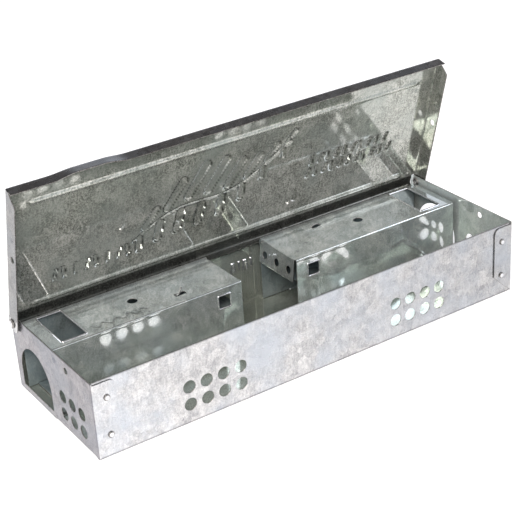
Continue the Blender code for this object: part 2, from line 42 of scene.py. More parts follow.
mm = 0.001


def report(text):
    print(f"{text} ({time.time() - startTime:.1f} s)", flush=True)


# sizes that several pieces share, in metres, the same as in the CAD model
sheet = {
    "thick": 0.5 * mm, "gap": 0.3 * mm, "fold": 1.0 * mm,
    "edge": 0.1 * mm,             # rounding of a sheared edge
    "burr": 0.12 * mm,            # how far a punched hole is dished
}
box = {
    "half": 133.5 * mm, "side": 44.2 * mm, "height": 44.0 * mm, "backTop": 37.0 * mm,
    "wall": 43.4 * mm, "channelEnd": 132.7 * mm,
}
hinge = Vector((0.0, 39.1 * mm, 40.6 * mm))
tunnelSize = {
    "inner": 18.0 * mm, "outer": 131.0 * mm, "front": 2.7 * mm, "back": 39.1 * mm, "top": 40.0 * mm,
}
tunnelMid = (tunnelSize["front"] + tunnelSize["back"]) / 2


# curves and grids

def steps(start, stop, spacing):
    count = max(1, int(round(abs(stop - start) / spacing)))
    return np.linspace(start, stop, count + 1)


def lineThrough(breaks, spacings):
    # Numbers through a list of breaks, each stretch with its own spacing.
    runs = [steps(a, b, spacing)[:-1] for a, b, spacing in zip(breaks[:-1], breaks[1:], spacings)]
    return np.concatenate(runs + [breaks[-1:]])


def foldedLine(corners, radii, spacing, bends=6):
    # A folded profile. Straight legs join arcs, and a point of an arc is
    # start + r (sin t * along + (1 - cos t) * across), with t from 0 to the turning angle.
    points = np.array(corners, float)
    count = len(points)
    radii = np.broadcast_to(radii, count - 2) if np.ndim(radii) == 0 else np.array(radii, float)
    spacings = np.broadcast_to(spacing, count - 1) if np.ndim(spacing) == 0 else np.array(spacing, float)
    runs, here = [], points[0]
    for i in range(1, count):
        along = points[i] - points[i - 1]
        along = along / np.linalg.norm(along)
        leg = lambda stop: np.outer(steps(0, np.linalg.norm(stop - here), spacings[i - 1]), along)
        if i == count - 1:
            runs.append(here + leg(points[i]))
            break
        after = points[i + 1] - points[i]
        after = after / np.linalg.norm(after)
        turn = math.acos(np.clip(along @ after, -1, 1))
        if turn < 1e-6:                                           # no fold here, only another spacing
            runs.append(here + leg(points[i])[:-1])
            here = points[i]
            continue
        across = after - along * (along @ after)
        across = across / np.linalg.norm(across)
        radius = radii[i - 1]
        first = points[i] - along * radius * math.tan(turn / 2)
        runs.append(here + leg(first)[:-1])
        t = np.linspace(0, turn, bends + 1)
        arc = first + radius * (np.outer(np.sin(t), along) + np.outer(1 - np.cos(t), across))
        runs.append(arc[:-1])
        here = arc[-1]
    return np.vstack(runs)


def gridFaces(rows, columns, closed=False, start=0):
    # Four-sided faces between neighbouring rows and columns. A closed grid joins its last column to its
    # first.
    i, j = np.meshgrid(np.arange(rows - 1), np.arange(columns if closed else columns - 1), indexing="ij")
    k = (j + 1) % columns
    here, above = i * columns, (i + 1) * columns
    return start + np.stack([here + j, here + k, above + k, above + j], -1).reshape(-1, 4)


def newObject(name, points, faces, materials=()):
    mesh = bpy.data.meshes.new(name)
    if isinstance(faces, np.ndarray):
        faces = [tuple(face) for face in faces.tolist()]
    mesh.from_pydata(np.asarray(points).reshape(-1, 3).tolist(), [], faces)
    for finish in materials:
        mesh.materials.append(finish)
    made = bpy.data.objects.new(name, mesh)
    bpy.context.scene.collection.objects.link(made)
    return made


def cleanMesh(made, outward=None, merge=0.02 * mm):
    # Welds points that fall together, drops loose ones and makes the faces agree. The sum of all the faces'
    # normals, weighted by area, is turned to the outward direction where one is given.
    bm = bmesh.new()
    bm.from_mesh(made.data)
    bmesh.ops.remove_doubles(bm, verts=bm.verts, dist=merge)
    bmesh.ops.delete(bm, geom=[v for v in bm.verts if not v.link_faces], context="VERTS")
    bmesh.ops.dissolve_degenerate(bm, dist=merge / 2, edges=bm.edges)
    bmesh.ops.recalc_face_normals(bm, faces=bm.faces)
    if outward is not None:
        total = sum((f.normal * f.calc_area() for f in bm.faces), Vector())
        if total.dot(Vector(outward)) < 0:
            bmesh.ops.reverse_faces(bm, faces=bm.faces)
    bm.to_mesh(made.data)
    bm.free()
    return made


def foldedSheet(name, points, outward, materials, keep=None, extra=()):
    # A grid of points becomes a folded sheet; keep says which of its cells stay, and extra holds more grids.
    rows, columns = points.shape[:2]
    faces = gridFaces(rows, columns)
    if keep is not None:
        faces = faces[keep.ravel()]
    allPoints, allFaces, count = [points.reshape(-1, 3)], [faces], rows * columns
    for patch in extra:
        allFaces.append(gridFaces(patch.shape[0], patch.shape[1], start=count))
        allPoints.append(patch.reshape(-1, 3))
        count += patch.shape[0] * patch.shape[1]
    made = newObject(name, np.vstack(allPoints), np.vstack(allFaces), materials)
    return cleanMesh(made, outward)


def applied(made):
    # Puts what the modifiers give into the mesh itself.
    view = bpy.context.evaluated_depsgraph_get()
    view.update()
    shaped = made.evaluated_get(view)
    mesh = bpy.data.meshes.new_from_object(shaped, preserve_all_data_layers=True, depsgraph=view)
    made.modifiers.clear()
    old, made.data = made.data, mesh
    bpy.data.meshes.remove(old)
    made.data.name = made.name
    return made


def pointsOf(made):
    spots = np.zeros(len(made.data.vertices) * 3)
    made.data.vertices.foreach_get("co", spots)
    return spots.reshape(-1, 3)


def paintShadeLine(made, share):
    # Painted shade along pressed lines, kept on the points for the finish to read: 0 is none, 1 is dark.
    kept = made.data.attributes.new("pressedEdgeShade", "FLOAT", "POINT")
    kept.data.foreach_set("value", share)


def smooth(made, angle=32.0):
    mesh = made.data
    mesh.shade_smooth()
    mesh.set_sharp_from_angle(angle=math.radians(angle))
    return made


def thicken(made, thickness=sheet["thick"], edge=sheet["edge"]):
    # The modelled surface is the outer face; the sheet grows inwards and its sheared rim is rounded.
    solid = made.modifiers.new("sheet", "SOLIDIFY")
    solid.thickness, solid.offset, solid.use_even_offset = thickness, -1.0, True
    solid.material_offset, solid.material_offset_rim = 1, 2
    if edge:
        bevel = made.modifiers.new("rim", "BEVEL")
        bevel.width, bevel.segments, bevel.limit_method = edge, 2, "ANGLE"
        bevel.angle_limit = math.radians(60)
        bevel.use_clamp_overlap = True
    return applied(made)


# punched openings

def circleLine(radius, grown, sides=40):
    t = np.linspace(0, 2 * np.pi, sides, endpoint=False)
    return np.stack([(radius + grown) * np.cos(t), (radius + grown) * np.sin(t)], -1)


def rectangleLine(long, high, corner, grown, bends=5):
    # A rectangle with quarter circles for corners, grown by a margin: the corner's centre +
    # r (cos t, sin t).
    t = np.linspace(0, np.pi / 2, bends + 1)
    turns = np.array([[1, 1], [-1, 1], [-1, -1], [1, -1]])
    middles = turns * [long / 2 - corner, high / 2 - corner]
    angles = t[None] + np.arange(4)[:, None] * np.pi / 2
    ring = (corner + grown) * np.stack([np.cos(angles), np.sin(angles)], -1) + middles[:, None]
    return ring.reshape(-1, 2)


def archLine(radius, sill, spring, grown, bends=28):
    # A doorway: a half circle of the radius over two straight sides that stand on the sill.
    t = np.linspace(0, np.pi, bends + 1)
    top = np.stack([(radius + grown) * np.cos(t), spring + (radius + grown) * np.sin(t)], -1)
    foot = np.array([[-radius - grown, sill - grown], [radius + grown, sill - grown]])
    return np.vstack([top, foot])


def punch(outline, place, burr=sheet["burr"], thickness=sheet["thick"], reach=1.2 * mm):
    # The solid that a punch leaves behind: the outline carried through the sheet, a little larger at
    # both faces, so the opening gets a dished rim. place turns (across, up, out) into a point.
    clear = 0.02 * mm                                             # keeps the cutter's rings off the faces
    depths = np.array([reach, clear, -burr, burr - thickness, -thickness - clear, -thickness - reach])
    growth = np.array([burr, burr, 0, 0, burr * 0.8, burr * 0.8])
    rings = [place(*outline(grown).T, depth) for depth, grown in zip(depths, growth)]
    points = np.array([np.stack(np.broadcast_arrays(*ring), -1) for ring in rings])
    return points


def cutOut(made, punches, material):
    # Takes all the punched solids out of a sheet in one go.
    allPoints, allFaces, count = [], [], 0
    for points in punches:
        rows, columns = points.shape[:2]
        faces = gridFaces(rows, columns, closed=True, start=count).tolist()
        faces += [list(range(count, count + columns)),
                  list(range(count + (rows - 1) * columns, count + rows * columns))]
        allPoints.append(points.reshape(-1, 3))
        allFaces += faces
        count += rows * columns
    cutter = newObject("cutter", np.vstack(allPoints), allFaces, [material])
    bm = bmesh.new()
    bm.from_mesh(cutter.data)
    bmesh.ops.recalc_face_normals(bm, faces=bm.faces)
    bm.to_mesh(cutter.data)
    bm.free()
    cut = made.modifiers.new("cut", "BOOLEAN")
    cut.operation, cut.solver, cut.object = "DIFFERENCE", "EXACT", cutter
    cut.material_mode = "TRANSFER"
    applied(made)
    bpy.data.objects.remove(cutter, do_unlink=True)
    return made


def facingY(y, sign):
    return lambda a, b, out: (a, y + sign * out, b)


def facingX(x, sign):
    return lambda a, b, out: (x + sign * out, a, b)


def facingZ(z, sign):
    return lambda a, b, out: (a, b, z + sign * out)


def at(outline, across, up):
    # An outline moved to its place in the sheet.
    return lambda grown: outline(grown) + [across, up]


def smoothStep(t):
    t = np.clip(t, 0, 1)
    return t * t * (3 - 2 * t)


def ripple(a, b, lengths, phase):
    # Sum of slanted sine waves, about -1 to 1, for sheet that isn't quite flat.
    total = 0
    for n, length in enumerate(lengths):
        turn = 0.9 * n + phase
        slanted = a * math.cos(turn) + b * math.sin(turn)
        total = total + np.sin(2 * np.pi * slanted / length + 2.1 * n + phase)
    return total / len(lengths)


# materials

def linear(hexColour):
    value = np.array([int(hexColour[i:i + 2], 16) for i in (1, 3, 5)]) / 255
    value = np.where(value <= 0.04045, value / 12.92, ((value + 0.055) / 1.055) ** 2.4)
    return (*value.tolist(), 1.0)


def addNode(tree, kind, settings=None, inputs=None, links=None, stops=()):
    # One node with its settings, its input values, links given as socket name to (node, output), and the
    # stops of its colour band.
    made = tree.nodes.new(kind)
    for n, (place, colour) in enumerate(stops):
        stop = made.color_ramp.elements[n] if n < 2 else made.color_ramp.elements.new(place)
        stop.position, stop.color = place, colour
    for key, value in (settings or {}).items():
        setattr(made, key, value)
    for key, value in (inputs or {}).items():
        made.inputs[key].default_value = value
    for key, (source, output) in (links or {}).items():
        tree.links.new(source.outputs[output], made.inputs[key])
    return made


def newMaterial(name):
    made = bpy.data.materials.new(name)
    made.use_nodes = True
    made.node_tree.nodes.clear()
    return made, made.node_tree


# The patterns that all the zinc finishes share, sizes in millimetres. Real grit and rolling lines are finer
# than 0.1 mm and wouldn't show, so they are drawn 0.9 mm wide.
zincPattern = {
    "wash": 26, "grit": 0.9, "rolling": (24, 0.9, 0.9), "fleck": (1.3, 1.3, 5),
    "crystals": 0.22,             # weight of the crystals' own tones in the mixed pattern
    "contrast": 0.26,             # the mixed pattern runs from dark to light this far round its middle
    "coolFrom": 0.42, "coolTo": 0.68, "coolMost": 0.75,
    "glossFrom": 0.55, "glossTo": 1.15,
    "pressed": 0.08,              # share of the colour left in the darkest painted shade line
    "shadeAlongHalf": 134,              # painted shade along x runs from this far left of the middle to this far right
}

# Tones light, dark and cool; gloss range; share of bare metal; crystal size in mm; weights of the clouds, of
# the fine speckle and of the short flecks; relief of the bump; the share of the colour left at heights in mm,
# which is painted shade along the bottom fold and below the lid's hinge and a darker band from the top edge
# up; and fade, the share of it at the left and the right end, which is painted shade deepening to the right.
unshaded, even = ((0.0, 1.0), (44.0, 1.0)), (1.0, 1.0)
galvanisedLook = {
    "body": {
        "light": "#dedddd", "dark": "#a1a1a4", "cool": "#c0c6cf", "rough": (0.18, 0.34), "metal": 0.88,
        "spangle": 4.0, "clouds": 0.7, "speckle": 0.7, "flecks": 0.55, "bump": 0.16,
        # painted shade along the bottom fold, a darker band from the top edge up, painted shade towards the
        # right end
        "shadeByHeight": ((0.0, 0.30), (0.9, 0.55), (1.6, 1.0), (43.1, 1.0), (43.9, 0.45)), "fade": (1.02, 0.72)},
    # the end plates' finish is a darker copy of the outer finish: painted shade on the faces turned to the
    # ends
    "plate": {
        "light": "#a3a0a4", "dark": "#69686f", "cool": "#868a94", "rough": (0.18, 0.34), "metal": 0.90,
        "spangle": 4.0, "clouds": 0.8, "speckle": 0.7, "flecks": 0.5, "bump": 0.16,
        # painted shade along the bottom fold and a darker band from the top edge up
        "shadeByHeight": ((0.0, 0.30), (1.2, 0.55), (2.0, 1.0), (43.1, 1.0), (43.9, 0.45)), "fade": even},
    "inside": {
        "light": "#dcdfd6", "dark": "#a9afa5", "cool": "#c4ccc6", "rough": (0.05, 0.12), "metal": 0.74,
        "spangle": 7.0, "clouds": 0.8, "speckle": 0.5, "flecks": 0.3, "bump": 0.012,
        "shadeByHeight": unshaded, "fade": even},
    "lid": {
        "light": "#cfcfc8", "dark": "#757871", "cool": "#a4aaa5", "rough": (0.04, 0.11), "metal": 0.68,
        "spangle": 8.0, "clouds": 0.4, "speckle": 1.4, "flecks": 0.8, "bump": 0.006,
        # painted shade in the lowest band, by the hinge
        "shadeByHeight": ((36.0, 0.22), (43.6, 0.22), (44.6, 1.0), (125.0, 1.0)), "fade": even},
    "tunnel": {
        "light": "#eef0ee", "dark": "#a4abaa", "cool": "#c8d0d4", "rough": (0.05, 0.12), "metal": 0.76,
        "spangle": 5.0, "clouds": 0.7, "speckle": 0.8, "flecks": 0.4, "bump": 0.010,
        "shadeByHeight": unshaded, "fade": even},
    "hidden": {
        "light": "#dfe4e2", "dark": "#a3aba8", "cool": "#c0cbcd", "rough": (0.10, 0.20), "metal": 0.45,
        "spangle": 6.0, "clouds": 0.8, "speckle": 0.6, "flecks": 0.3, "bump": 0.02,
        "shadeByHeight": unshaded, "fade": even},
    "dull": {
        "light": "#b3bdbe", "dark": "#727b7c", "cool": "#9dadb2", "rough": (0.10, 0.22), "metal": 0.55,
        "spangle": 6.0, "clouds": 0.8, "speckle": 0.6, "flecks": 0.3, "bump": 0.02,
        "shadeByHeight": unshaded, "fade": even},
    "rivet": {
        "light": "#eeecec", "dark": "#c3c2c6", "cool": "#d5d9e0", "rough": (0.14, 0.28), "metal": 0.90,
        "spangle": 2.2, "clouds": 1.0, "speckle": 0.3, "flecks": 0.2, "bump": 0.12,
        "shadeByHeight": unshaded, "fade": even},
}


def galvanisedSteel(name, look):
    # Hot-dip galvanised steel. The eye sees metal gloss broken into soft cloudy crystals of zinc, each with
    # its own tone and gloss, a little chalky bloom, a fine speckle, and grain along the rolling direction.
    made, tree = newMaterial(name)
    size, pattern = look["spangle"] * mm, zincPattern
    roll, fleck = (tuple(1 / (wide * mm) for wide in pattern[kind]) for kind in ("rolling", "fleck"))
    where = addNode(tree, "ShaderNodeTexCoord")
    warp = addNode(tree, "ShaderNodeTexNoise", None,
                   {"Scale": 1 / (0.8 * size), "Detail": 3.0, "Roughness": 0.6},
                   {"Vector": (where, "Object")})
    centred = addNode(tree, "ShaderNodeVectorMath", {"operation": "SUBTRACT"}, {1: (0.5, 0.5, 0.5)},
                      {0: (warp, "Color")})
    shift = addNode(tree, "ShaderNodeVectorMath", {"operation": "SCALE"}, {"Scale": 0.5 * size},
                    {0: (centred, "Vector")})
    bent = addNode(tree, "ShaderNodeVectorMath", {"operation": "ADD"}, None,
                   {0: (where, "Object"), 1: (shift, "Vector")})
    crystals = addNode(tree, "ShaderNodeTexVoronoi", {"feature": "F1"}, {"Scale": 1 / size},
                       {"Vector": (bent, "Vector")})
    tone = addNode(tree, "ShaderNodeSeparateColor", links={"Color": (crystals, "Color")})
    clouds = addNode(tree, "ShaderNodeTexNoise", None,
                     {"Scale": 1 / (2.2 * size), "Detail": 6.0, "Roughness": 0.66, "Distortion": 0.5},
                     {"Vector": (bent, "Vector")})
    wash = addNode(tree, "ShaderNodeTexNoise", None,
                   {"Scale": 1 / (pattern["wash"] * mm), "Detail": 4.0, "Roughness": 0.6},
                   {"Vector": (bent, "Vector")})
    fine = addNode(tree, "ShaderNodeTexNoise", None,
                   {"Scale": 1 / (pattern["grit"] * mm), "Detail": 2.0, "Roughness": 0.7},
                   {"Vector": (where, "Object")})
    grain = addNode(tree, "ShaderNodeMapping", {"vector_type": "POINT"}, {"Scale": roll},
                    {"Vector": (where, "Object")})
    streaks = addNode(tree, "ShaderNodeTexNoise", None, {"Scale": 1.0, "Detail": 2.0},
                      {"Vector": (grain, "Vector")})
    upright = addNode(tree, "ShaderNodeMapping", {"vector_type": "POINT"}, {"Scale": fleck},
                      {"Vector": (bent, "Vector")})
    flecks = addNode(tree, "ShaderNodeTexNoise", None, {"Scale": 1.0, "Detail": 3.0, "Roughness": 0.7},
                     {"Vector": (upright, "Vector")})
    cells = addNode(tree, "ShaderNodeMath", {"operation": "MULTIPLY"}, {1: pattern["crystals"]},
                    {0: (tone, "Red")})
    mixed = addNode(tree, "ShaderNodeMath", {"operation": "MULTIPLY_ADD"}, {1: look["clouds"]},
                    {0: (clouds, "Fac"), 2: (cells, "Value")})
    struck = addNode(tree, "ShaderNodeMath", {"operation": "MULTIPLY_ADD"}, {1: look["flecks"]},
                     {0: (flecks, "Fac"), 2: (mixed, "Value")})
    broken = addNode(tree, "ShaderNodeMath", {"operation": "MULTIPLY_ADD"}, {1: look["speckle"]},
                     {0: (fine, "Fac"), 2: (struck, "Value")})
    middle = (look["clouds"] + pattern["crystals"] + look["flecks"] + look["speckle"]) / 2
    spread = addNode(tree, "ShaderNodeMapRange", None,
                     {"From Min": middle - pattern["contrast"], "From Max": middle + pattern["contrast"]},
                     {"Value": (broken, "Value")})
    colour = addNode(tree, "ShaderNodeValToRGB", links={"Fac": (spread, "Result")},
                     stops=[(0, linear(look["dark"])), (1, linear(look["light"]))])
    coolShare = addNode(tree, "ShaderNodeMapRange", None,
                        {"From Min": pattern["coolFrom"], "From Max": pattern["coolTo"],
                         "To Max": pattern["coolMost"]},
                        {"Value": (wash, "Fac")})
    tinted = addNode(tree, "ShaderNodeMix", {"data_type": "RGBA"}, {"B": linear(look["cool"])},
                     {"Factor": (coolShare, "Result"), "A": (colour, "Color")})
    place = addNode(tree, "ShaderNodeSeparateXYZ", links={"Vector": (where, "Object")})
    # Painted shade by height: a band read off the height darkens the bottom fold, the zone below the lid's
    # hinge and the top edge.
    low, high = look["shadeByHeight"][0][0], look["shadeByHeight"][-1][0]
    level = addNode(tree, "ShaderNodeMapRange", None, {"From Min": low * mm, "From Max": high * mm},
                    {"Value": (place, "Z")})
    shadeByHeight = addNode(tree, "ShaderNodeValToRGB", links={"Fac": (level, "Result")},
                   stops=[((z - low) / (high - low), (left, left, left, 1)) for z, left in look["shadeByHeight"]])
    # painted shade along x: the colour is scaled from the left end to the right end
    end = pattern["shadeAlongHalf"] * mm
    along = addNode(tree, "ShaderNodeMapRange", None,
                    {"From Min": -end, "From Max": end, "To Min": look["fade"][0], "To Max": look["fade"][1]},
                    {"Value": (place, "X")})
    heightShaded = addNode(tree, "ShaderNodeMix", {"data_type": "RGBA", "blend_type": "MULTIPLY"}, {"Factor": 1.0},
                     {"A": (tinted, "Result"), "B": (shadeByHeight, "Color")})
    shadedAlong = addNode(tree, "ShaderNodeVectorMath", {"operation": "SCALE"}, None,
                    {0: (heightShaded, "Result"), "Scale": (along, "Result")})
    # painted shade along the pressed lines, read from the points
    pressed = addNode(tree, "ShaderNodeAttribute", {"attribute_name": "pressedEdgeShade"})
    lined = addNode(tree, "ShaderNodeMapRange", None, {"To Min": 1.0, "To Max": pattern["pressed"]},
                    {"Value": (pressed, "Fac")})
    outlined = addNode(tree, "ShaderNodeVectorMath", {"operation": "SCALE"}, None,
                       {0: (shadedAlong, "Vector"), "Scale": (lined, "Result")})
    gloss = addNode(tree, "ShaderNodeMath", {"operation": "MULTIPLY_ADD"}, {1: 0.35},
                    {0: (tone, "Green"), 2: (clouds, "Fac")})
    scuffed = addNode(tree, "ShaderNodeMath", {"operation": "MULTIPLY_ADD"}, {1: 0.35},
                      {0: (streaks, "Fac"), 2: (gloss, "Value")})
    rough = addNode(tree, "ShaderNodeMapRange", None,
                    {"From Min": pattern["glossFrom"], "From Max": pattern["glossTo"],
                     "To Min": look["rough"][0], "To Max": look["rough"][1]}, {"Value": (scuffed, "Value")})
    relief = addNode(tree, "ShaderNodeMath", {"operation": "MULTIPLY_ADD"}, {1: 0.6},
                     {0: (fine, "Fac"), 2: (streaks, "Fac")})
    bump = addNode(tree, "ShaderNodeBump", None, {"Strength": look["bump"], "Distance": 0.05 * mm},
                   {"Height": (relief, "Value")})
    shader = addNode(tree, "ShaderNodeBsdfPrincipled", None, {"Metallic": look["metal"]},
                     {"Base Color": (outlined, "Vector"), "Roughness": (rough, "Result"),
                      "Normal": (bump, "Normal")})
    addNode(tree, "ShaderNodeOutputMaterial", links={"Surface": (shader, "BSDF")})
    return made


def shearedEdge(name):
    # Bare cut edge of the sheet: drawn steel, darker and rougher than the zinc faces. It also paints shade as
    # a dark ring round a rivet's head.
    made, tree = newMaterial(name)
    where = addNode(tree, "ShaderNodeTexCoord")
    drawn = addNode(tree, "ShaderNodeTexNoise", None,
                    {"Scale": 1 / (zincPattern["grit"] * mm), "Detail": 3.0}, {"Vector": (where, "Object")})
    colour = addNode(tree, "ShaderNodeValToRGB", links={"Fac": (drawn, "Fac")},
                     stops=[(0.3, linear("#55524f")), (0.7, linear("#a8a5a2"))])
    rough = addNode(tree, "ShaderNodeMapRange", None, {"To Min": 0.25, "To Max": 0.5},
                    {"Value": (drawn, "Fac")})
    shader = addNode(tree, "ShaderNodeBsdfPrincipled", None, {"Metallic": 1.0},
                     {"Base Color": (colour, "Color"), "Roughness": (rough, "Result")})
    addNode(tree, "ShaderNodeOutputMaterial", links={"Surface": (shader, "BSDF")})
    return made


zincBright = galvanisedSteel("galvanised steel, outer face", galvanisedLook["body"])
zincPlateShaded = galvanisedSteel("galvanised steel, end plates, painted shade", galvanisedLook["plate"])
zincInside = galvanisedSteel("galvanised steel, inner face", galvanisedLook["inside"])
zincLid = galvanisedSteel("galvanised steel, lid lining", galvanisedLook["lid"])
zincTunnel = galvanisedSteel("galvanised steel, tunnel", galvanisedLook["tunnel"])
zincHidden = galvanisedSteel("galvanised steel, seldom rubbed faces", galvanisedLook["hidden"])
zincDull = galvanisedSteel("galvanised steel, dulled", galvanisedLook["dull"])
zincRivetAndHighlight = galvanisedSteel("zinc plated rivet and painted highlight", galvanisedLook["rivet"])
cutEdgeAndRimShade = shearedEdge("sheared steel edge and rivet rim shade")
report("materials")

# channel body: floor, front wall and low back wall folded from one sheet

channel = {
    "ventRadius": 3.5 * mm, "ventPitch": 10.15 * mm, "ventRow": 11.0 * mm,
    "ventGroups": (-65.3 * mm, 65.3 * mm),
    "rivets": (13.0 * mm, 34.0 * mm), "rivetIn": 7.7 * mm, "rivetHole": 1.2 * mm,
    "wave": 0.07 * mm,            # how far the long walls are out of flat
    "slots": (22.0 * mm, 91.0 * mm), "slotLong": 6.6 * mm, "slotWide": 1.1 * mm,
}


def makeChannel():
    # Profile (y, z) carried straight along x. The walls bow by a ripple that dies out at the folds and ends.
    profile = foldedLine([(-box["wall"], box["height"]), (-box["wall"], 0), (box["wall"], 0),
                          (box["wall"], box["backTop"])], sheet["fold"], 2.2 * mm)
    x = steps(-box["channelEnd"], box["channelEnd"], 2.6 * mm)
    points = np.empty((len(x), len(profile), 3))
    points[..., 0] = x[:, None]
    points[..., 1] = profile[None, :, 0]
    points[..., 2] = profile[None, :, 1]
    fade = smoothStep((box["channelEnd"] - 15 * mm - abs(x)) / (20 * mm))[:, None]
    up = smoothStep(profile[:, 1] / (14 * mm))[None]
    bow = channel["wave"] * ripple(x[:, None], profile[None, :, 1], (96 * mm, 61 * mm, 37 * mm), 0.4)
    points[..., 1] += np.sign(profile[:, 0])[None] * bow * fade * up
    made = foldedSheet("channel_sheet", points, (0, 0, -1), [zincBright, zincInside, cutEdgeAndRimShade])
    thicken(made)
    punches = []
    vent = lambda grown: circleLine(channel["ventRadius"], grown)
    for group in channel["ventGroups"]:
        for column in (-1.5, -0.5, 0.5, 1.5):
            for row in (0, 1):
                pitch = channel["ventPitch"]
                spot = (group + column * pitch, channel["ventRow"] + row * pitch)
                punches.append(punch(at(vent, *spot), facingY(-box["wall"], -1)))
    rivetHole = lambda grown: circleLine(channel["rivetHole"], grown, 20)
    slot = lambda grown: rectangleLine(channel["slotLong"], channel["slotWide"], 0.2 * mm, grown, 2)
    for end in (-1, 1):
        for face in (-1, 1):
            for height in channel["rivets"]:
                spot = (end * (box["half"] - channel["rivetIn"]), height)
                punches.append(punch(at(rivetHole, *spot), facingY(face * box["wall"], face)))
        for inset in channel["slots"]:
            for y in (tunnelSize["front"] + 0.25 * mm, tunnelSize["back"] - 0.25 * mm):
                spot = (end * (tunnelSize["outer"] - inset), y)
                punches.append(punch(at(slot, *spot), facingZ(0, -1)))
    cutOut(made, punches, cutEdgeAndRimShade)
    smooth(made)
    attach(made, "tray")
    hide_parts("channel_body")
    return made


makeChannel()
report("channel")


# end plates: doorway, vents, corner tabs lapped over the walls, and a flange on the floor

plate = {
    "foot": 0.8 * mm, "tab": 13.0 * mm, "tabFoot": 1.6 * mm, "tabTop": 42.8 * mm, "backTabTop": 36.0 * mm,
    "tabCorner": 3.5 * mm, "slant": 12.0 * mm,
    "flange": 8.0 * mm, "flangeFrom": -40.9 * mm, "flangeTo": 1.7 * mm,
    "archRadius": 17.0 * mm, "archSill": 4.0 * mm, "archSpring": 14.5 * mm,
    "ventMid": -19.8 * mm, "ventRow": 9.8 * mm, "ventPitch": 10.15 * mm, "ventRadius": 3.5 * mm,
    "latchHeight": 38.6 * mm, "latchBump": -4.6 * mm, "latchHole": -17.4 * mm, "latchRadius": 1.8 * mm,
    "bump": 0.5 * mm, "rivetHole": 1.8 * mm, "wave": 0.06 * mm,
}


def makeEndPlate(name, node, end):
    # Plan (x, y) carried upwards: tab, corner, plate, corner, tab. Each column runs from its own foot to its
    # own top, which draws the slanted foot and the rounded corner of a tab. The latch bump is a smooth hill.
    half, side = box["half"], box["side"]
    marks = plate["latchBump"] + np.array([3, -3]) * mm
    plan = foldedLine([(half - plate["tab"], side), (half, side), (half, marks[0]), (half, marks[1]),
                       (half, -side), (half - plate["tab"], -side)],
                      sheet["fold"], [0.8 * mm, 1.2 * mm, 0.35 * mm, 1.2 * mm, 0.8 * mm])
    x, y = plan.T
    inward = np.clip(half - sheet["fold"] - x, 0, None)          # along a tab from its fold
    onTab = smoothStep((half - 0.3 * mm - x) / (0.5 * mm))
    inFlange = (y > plate["flangeFrom"]) & (y < plate["flangeTo"]) & (x > half - 0.01 * mm)
    foot = plate["foot"] + sheet["fold"] * inFlange
    foot = foot * (1 - onTab) + onTab * (plate["tabFoot"] + inward * plate["slant"] / plate["tab"])
    corner = plate["tabCorner"]
    past = np.clip(inward + sheet["fold"] - (plate["tab"] - corner), 0, corner)
    rounded = corner - np.sqrt(corner ** 2 - past ** 2)
    tabTop = np.where(y < 0, plate["tabTop"], plate["backTabTop"]) - rounded
    top = box["height"] * (1 - onTab) + onTab * tabTop
    v = lineThrough(np.array([0, 0.82, 0.94, 1]), [0.03, 0.008, 0.03])
    points = np.empty((len(plan), len(v), 3))
    points[..., 0], points[..., 1] = x[:, None], y[:, None]
    points[..., 2] = foot[:, None] + (top - foot)[:, None] * v[None]
    away = np.hypot(points[..., 1] - plate["latchBump"], points[..., 2] - plate["latchHeight"])
    hill = smoothStep((plate["latchRadius"] - away) / (0.8 * mm))
    flat = smoothStep((side - 6 * mm - abs(y)) / (8 * mm))[:, None] * (x > half - 0.01 * mm)[:, None]
    bow = ripple(points[..., 1], points[..., 2], (58 * mm, 33 * mm), 1.3 + end)
    points[..., 0] += flat * (plate["bump"] * hill + plate["wave"] * bow * (1 - hill))
    row = np.where(inFlange)[0]
    bend = foldedLine([(half, plate["foot"] + sheet["fold"]), (half, plate["foot"]),
                       (half - plate["flange"], plate["foot"])], sheet["fold"] * 0.999, 1.6 * mm)
    flange = np.empty((len(row), len(bend), 3))
    flange[..., 1] = y[row][:, None]
    # the fold starts where the plate's own bottom row is, bow and all
    startX = points[row, 0, 0]
    fade = np.clip((bend[:, 1] - plate["foot"]) / sheet["fold"], 0, 1)
    flange[..., 0] = bend[None, :, 0] + (startX - half)[:, None] * fade[None]
    flange[..., 2] = bend[None, :, 1]
    points[..., 0] *= end
    flange[..., 0] *= end
    # the plate's outer face gets the darker copy of the outer finish, painted shade
    finishes = [zincPlateShaded, zincHidden, cutEdgeAndRimShade, zincBright]
    made = foldedSheet(name, points, (end, 0, 0), finishes, extra=[flange])
    thicken(made)
    outside = facingX(end * half, end)
    arch = lambda grown: archLine(plate["archRadius"], plate["archSill"], plate["archSpring"], grown)
    vent = lambda grown: circleLine(plate["ventRadius"], grown)
    hole = lambda grown: circleLine(plate["rivetHole"], grown, 24)
    punches = [punch(at(arch, tunnelMid, 0), outside),
               punch(at(hole, hinge.y, hinge.z), outside),
               punch(at(hole, plate["latchHole"], plate["latchHeight"]), outside)]
    for column in (-1, 0, 1):
        for level in (0, 1):
            pitch = plate["ventPitch"]
            spot = (plate["ventMid"] + column * pitch, plate["ventRow"] + level * pitch)
            punches.append(punch(at(vent, *spot), outside))
    small = lambda grown: circleLine(channel["rivetHole"], grown, 20)
    for face in (-1, 1):
        for height in channel["rivets"]:
            spot = (end * (half - channel["rivetIn"]), height)
            punches.append(punch(at(small, *spot), facingY(face * side, face), reach=0.2 * mm))
    cutOut(made, punches, cutEdgeAndRimShade)
    faces = made.data.polygons
    kinds, normals = np.zeros(len(faces), int), np.zeros(len(faces) * 3)
    faces.foreach_get("material_index", kinds)
    faces.foreach_get("normal", normals)
    kinds[(kinds == 0) & (abs(normals[1::3]) > 0.7)] = 3          # the tabs, turned along y, are as bright as the walls; faces turned to the ends keep the darker copy, painted shade
    faces.foreach_set("material_index", kinds)
    smooth(made)
    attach(made, "tray")
    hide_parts(node)
    return made


for side, end in (("left", -1), ("right", 1)):
    makeEndPlate(f"{side}_end_plate_sheet", f"{side}_end_plate", end)
report("end plates")

# lid: worked out shut, then swung open about the hinge

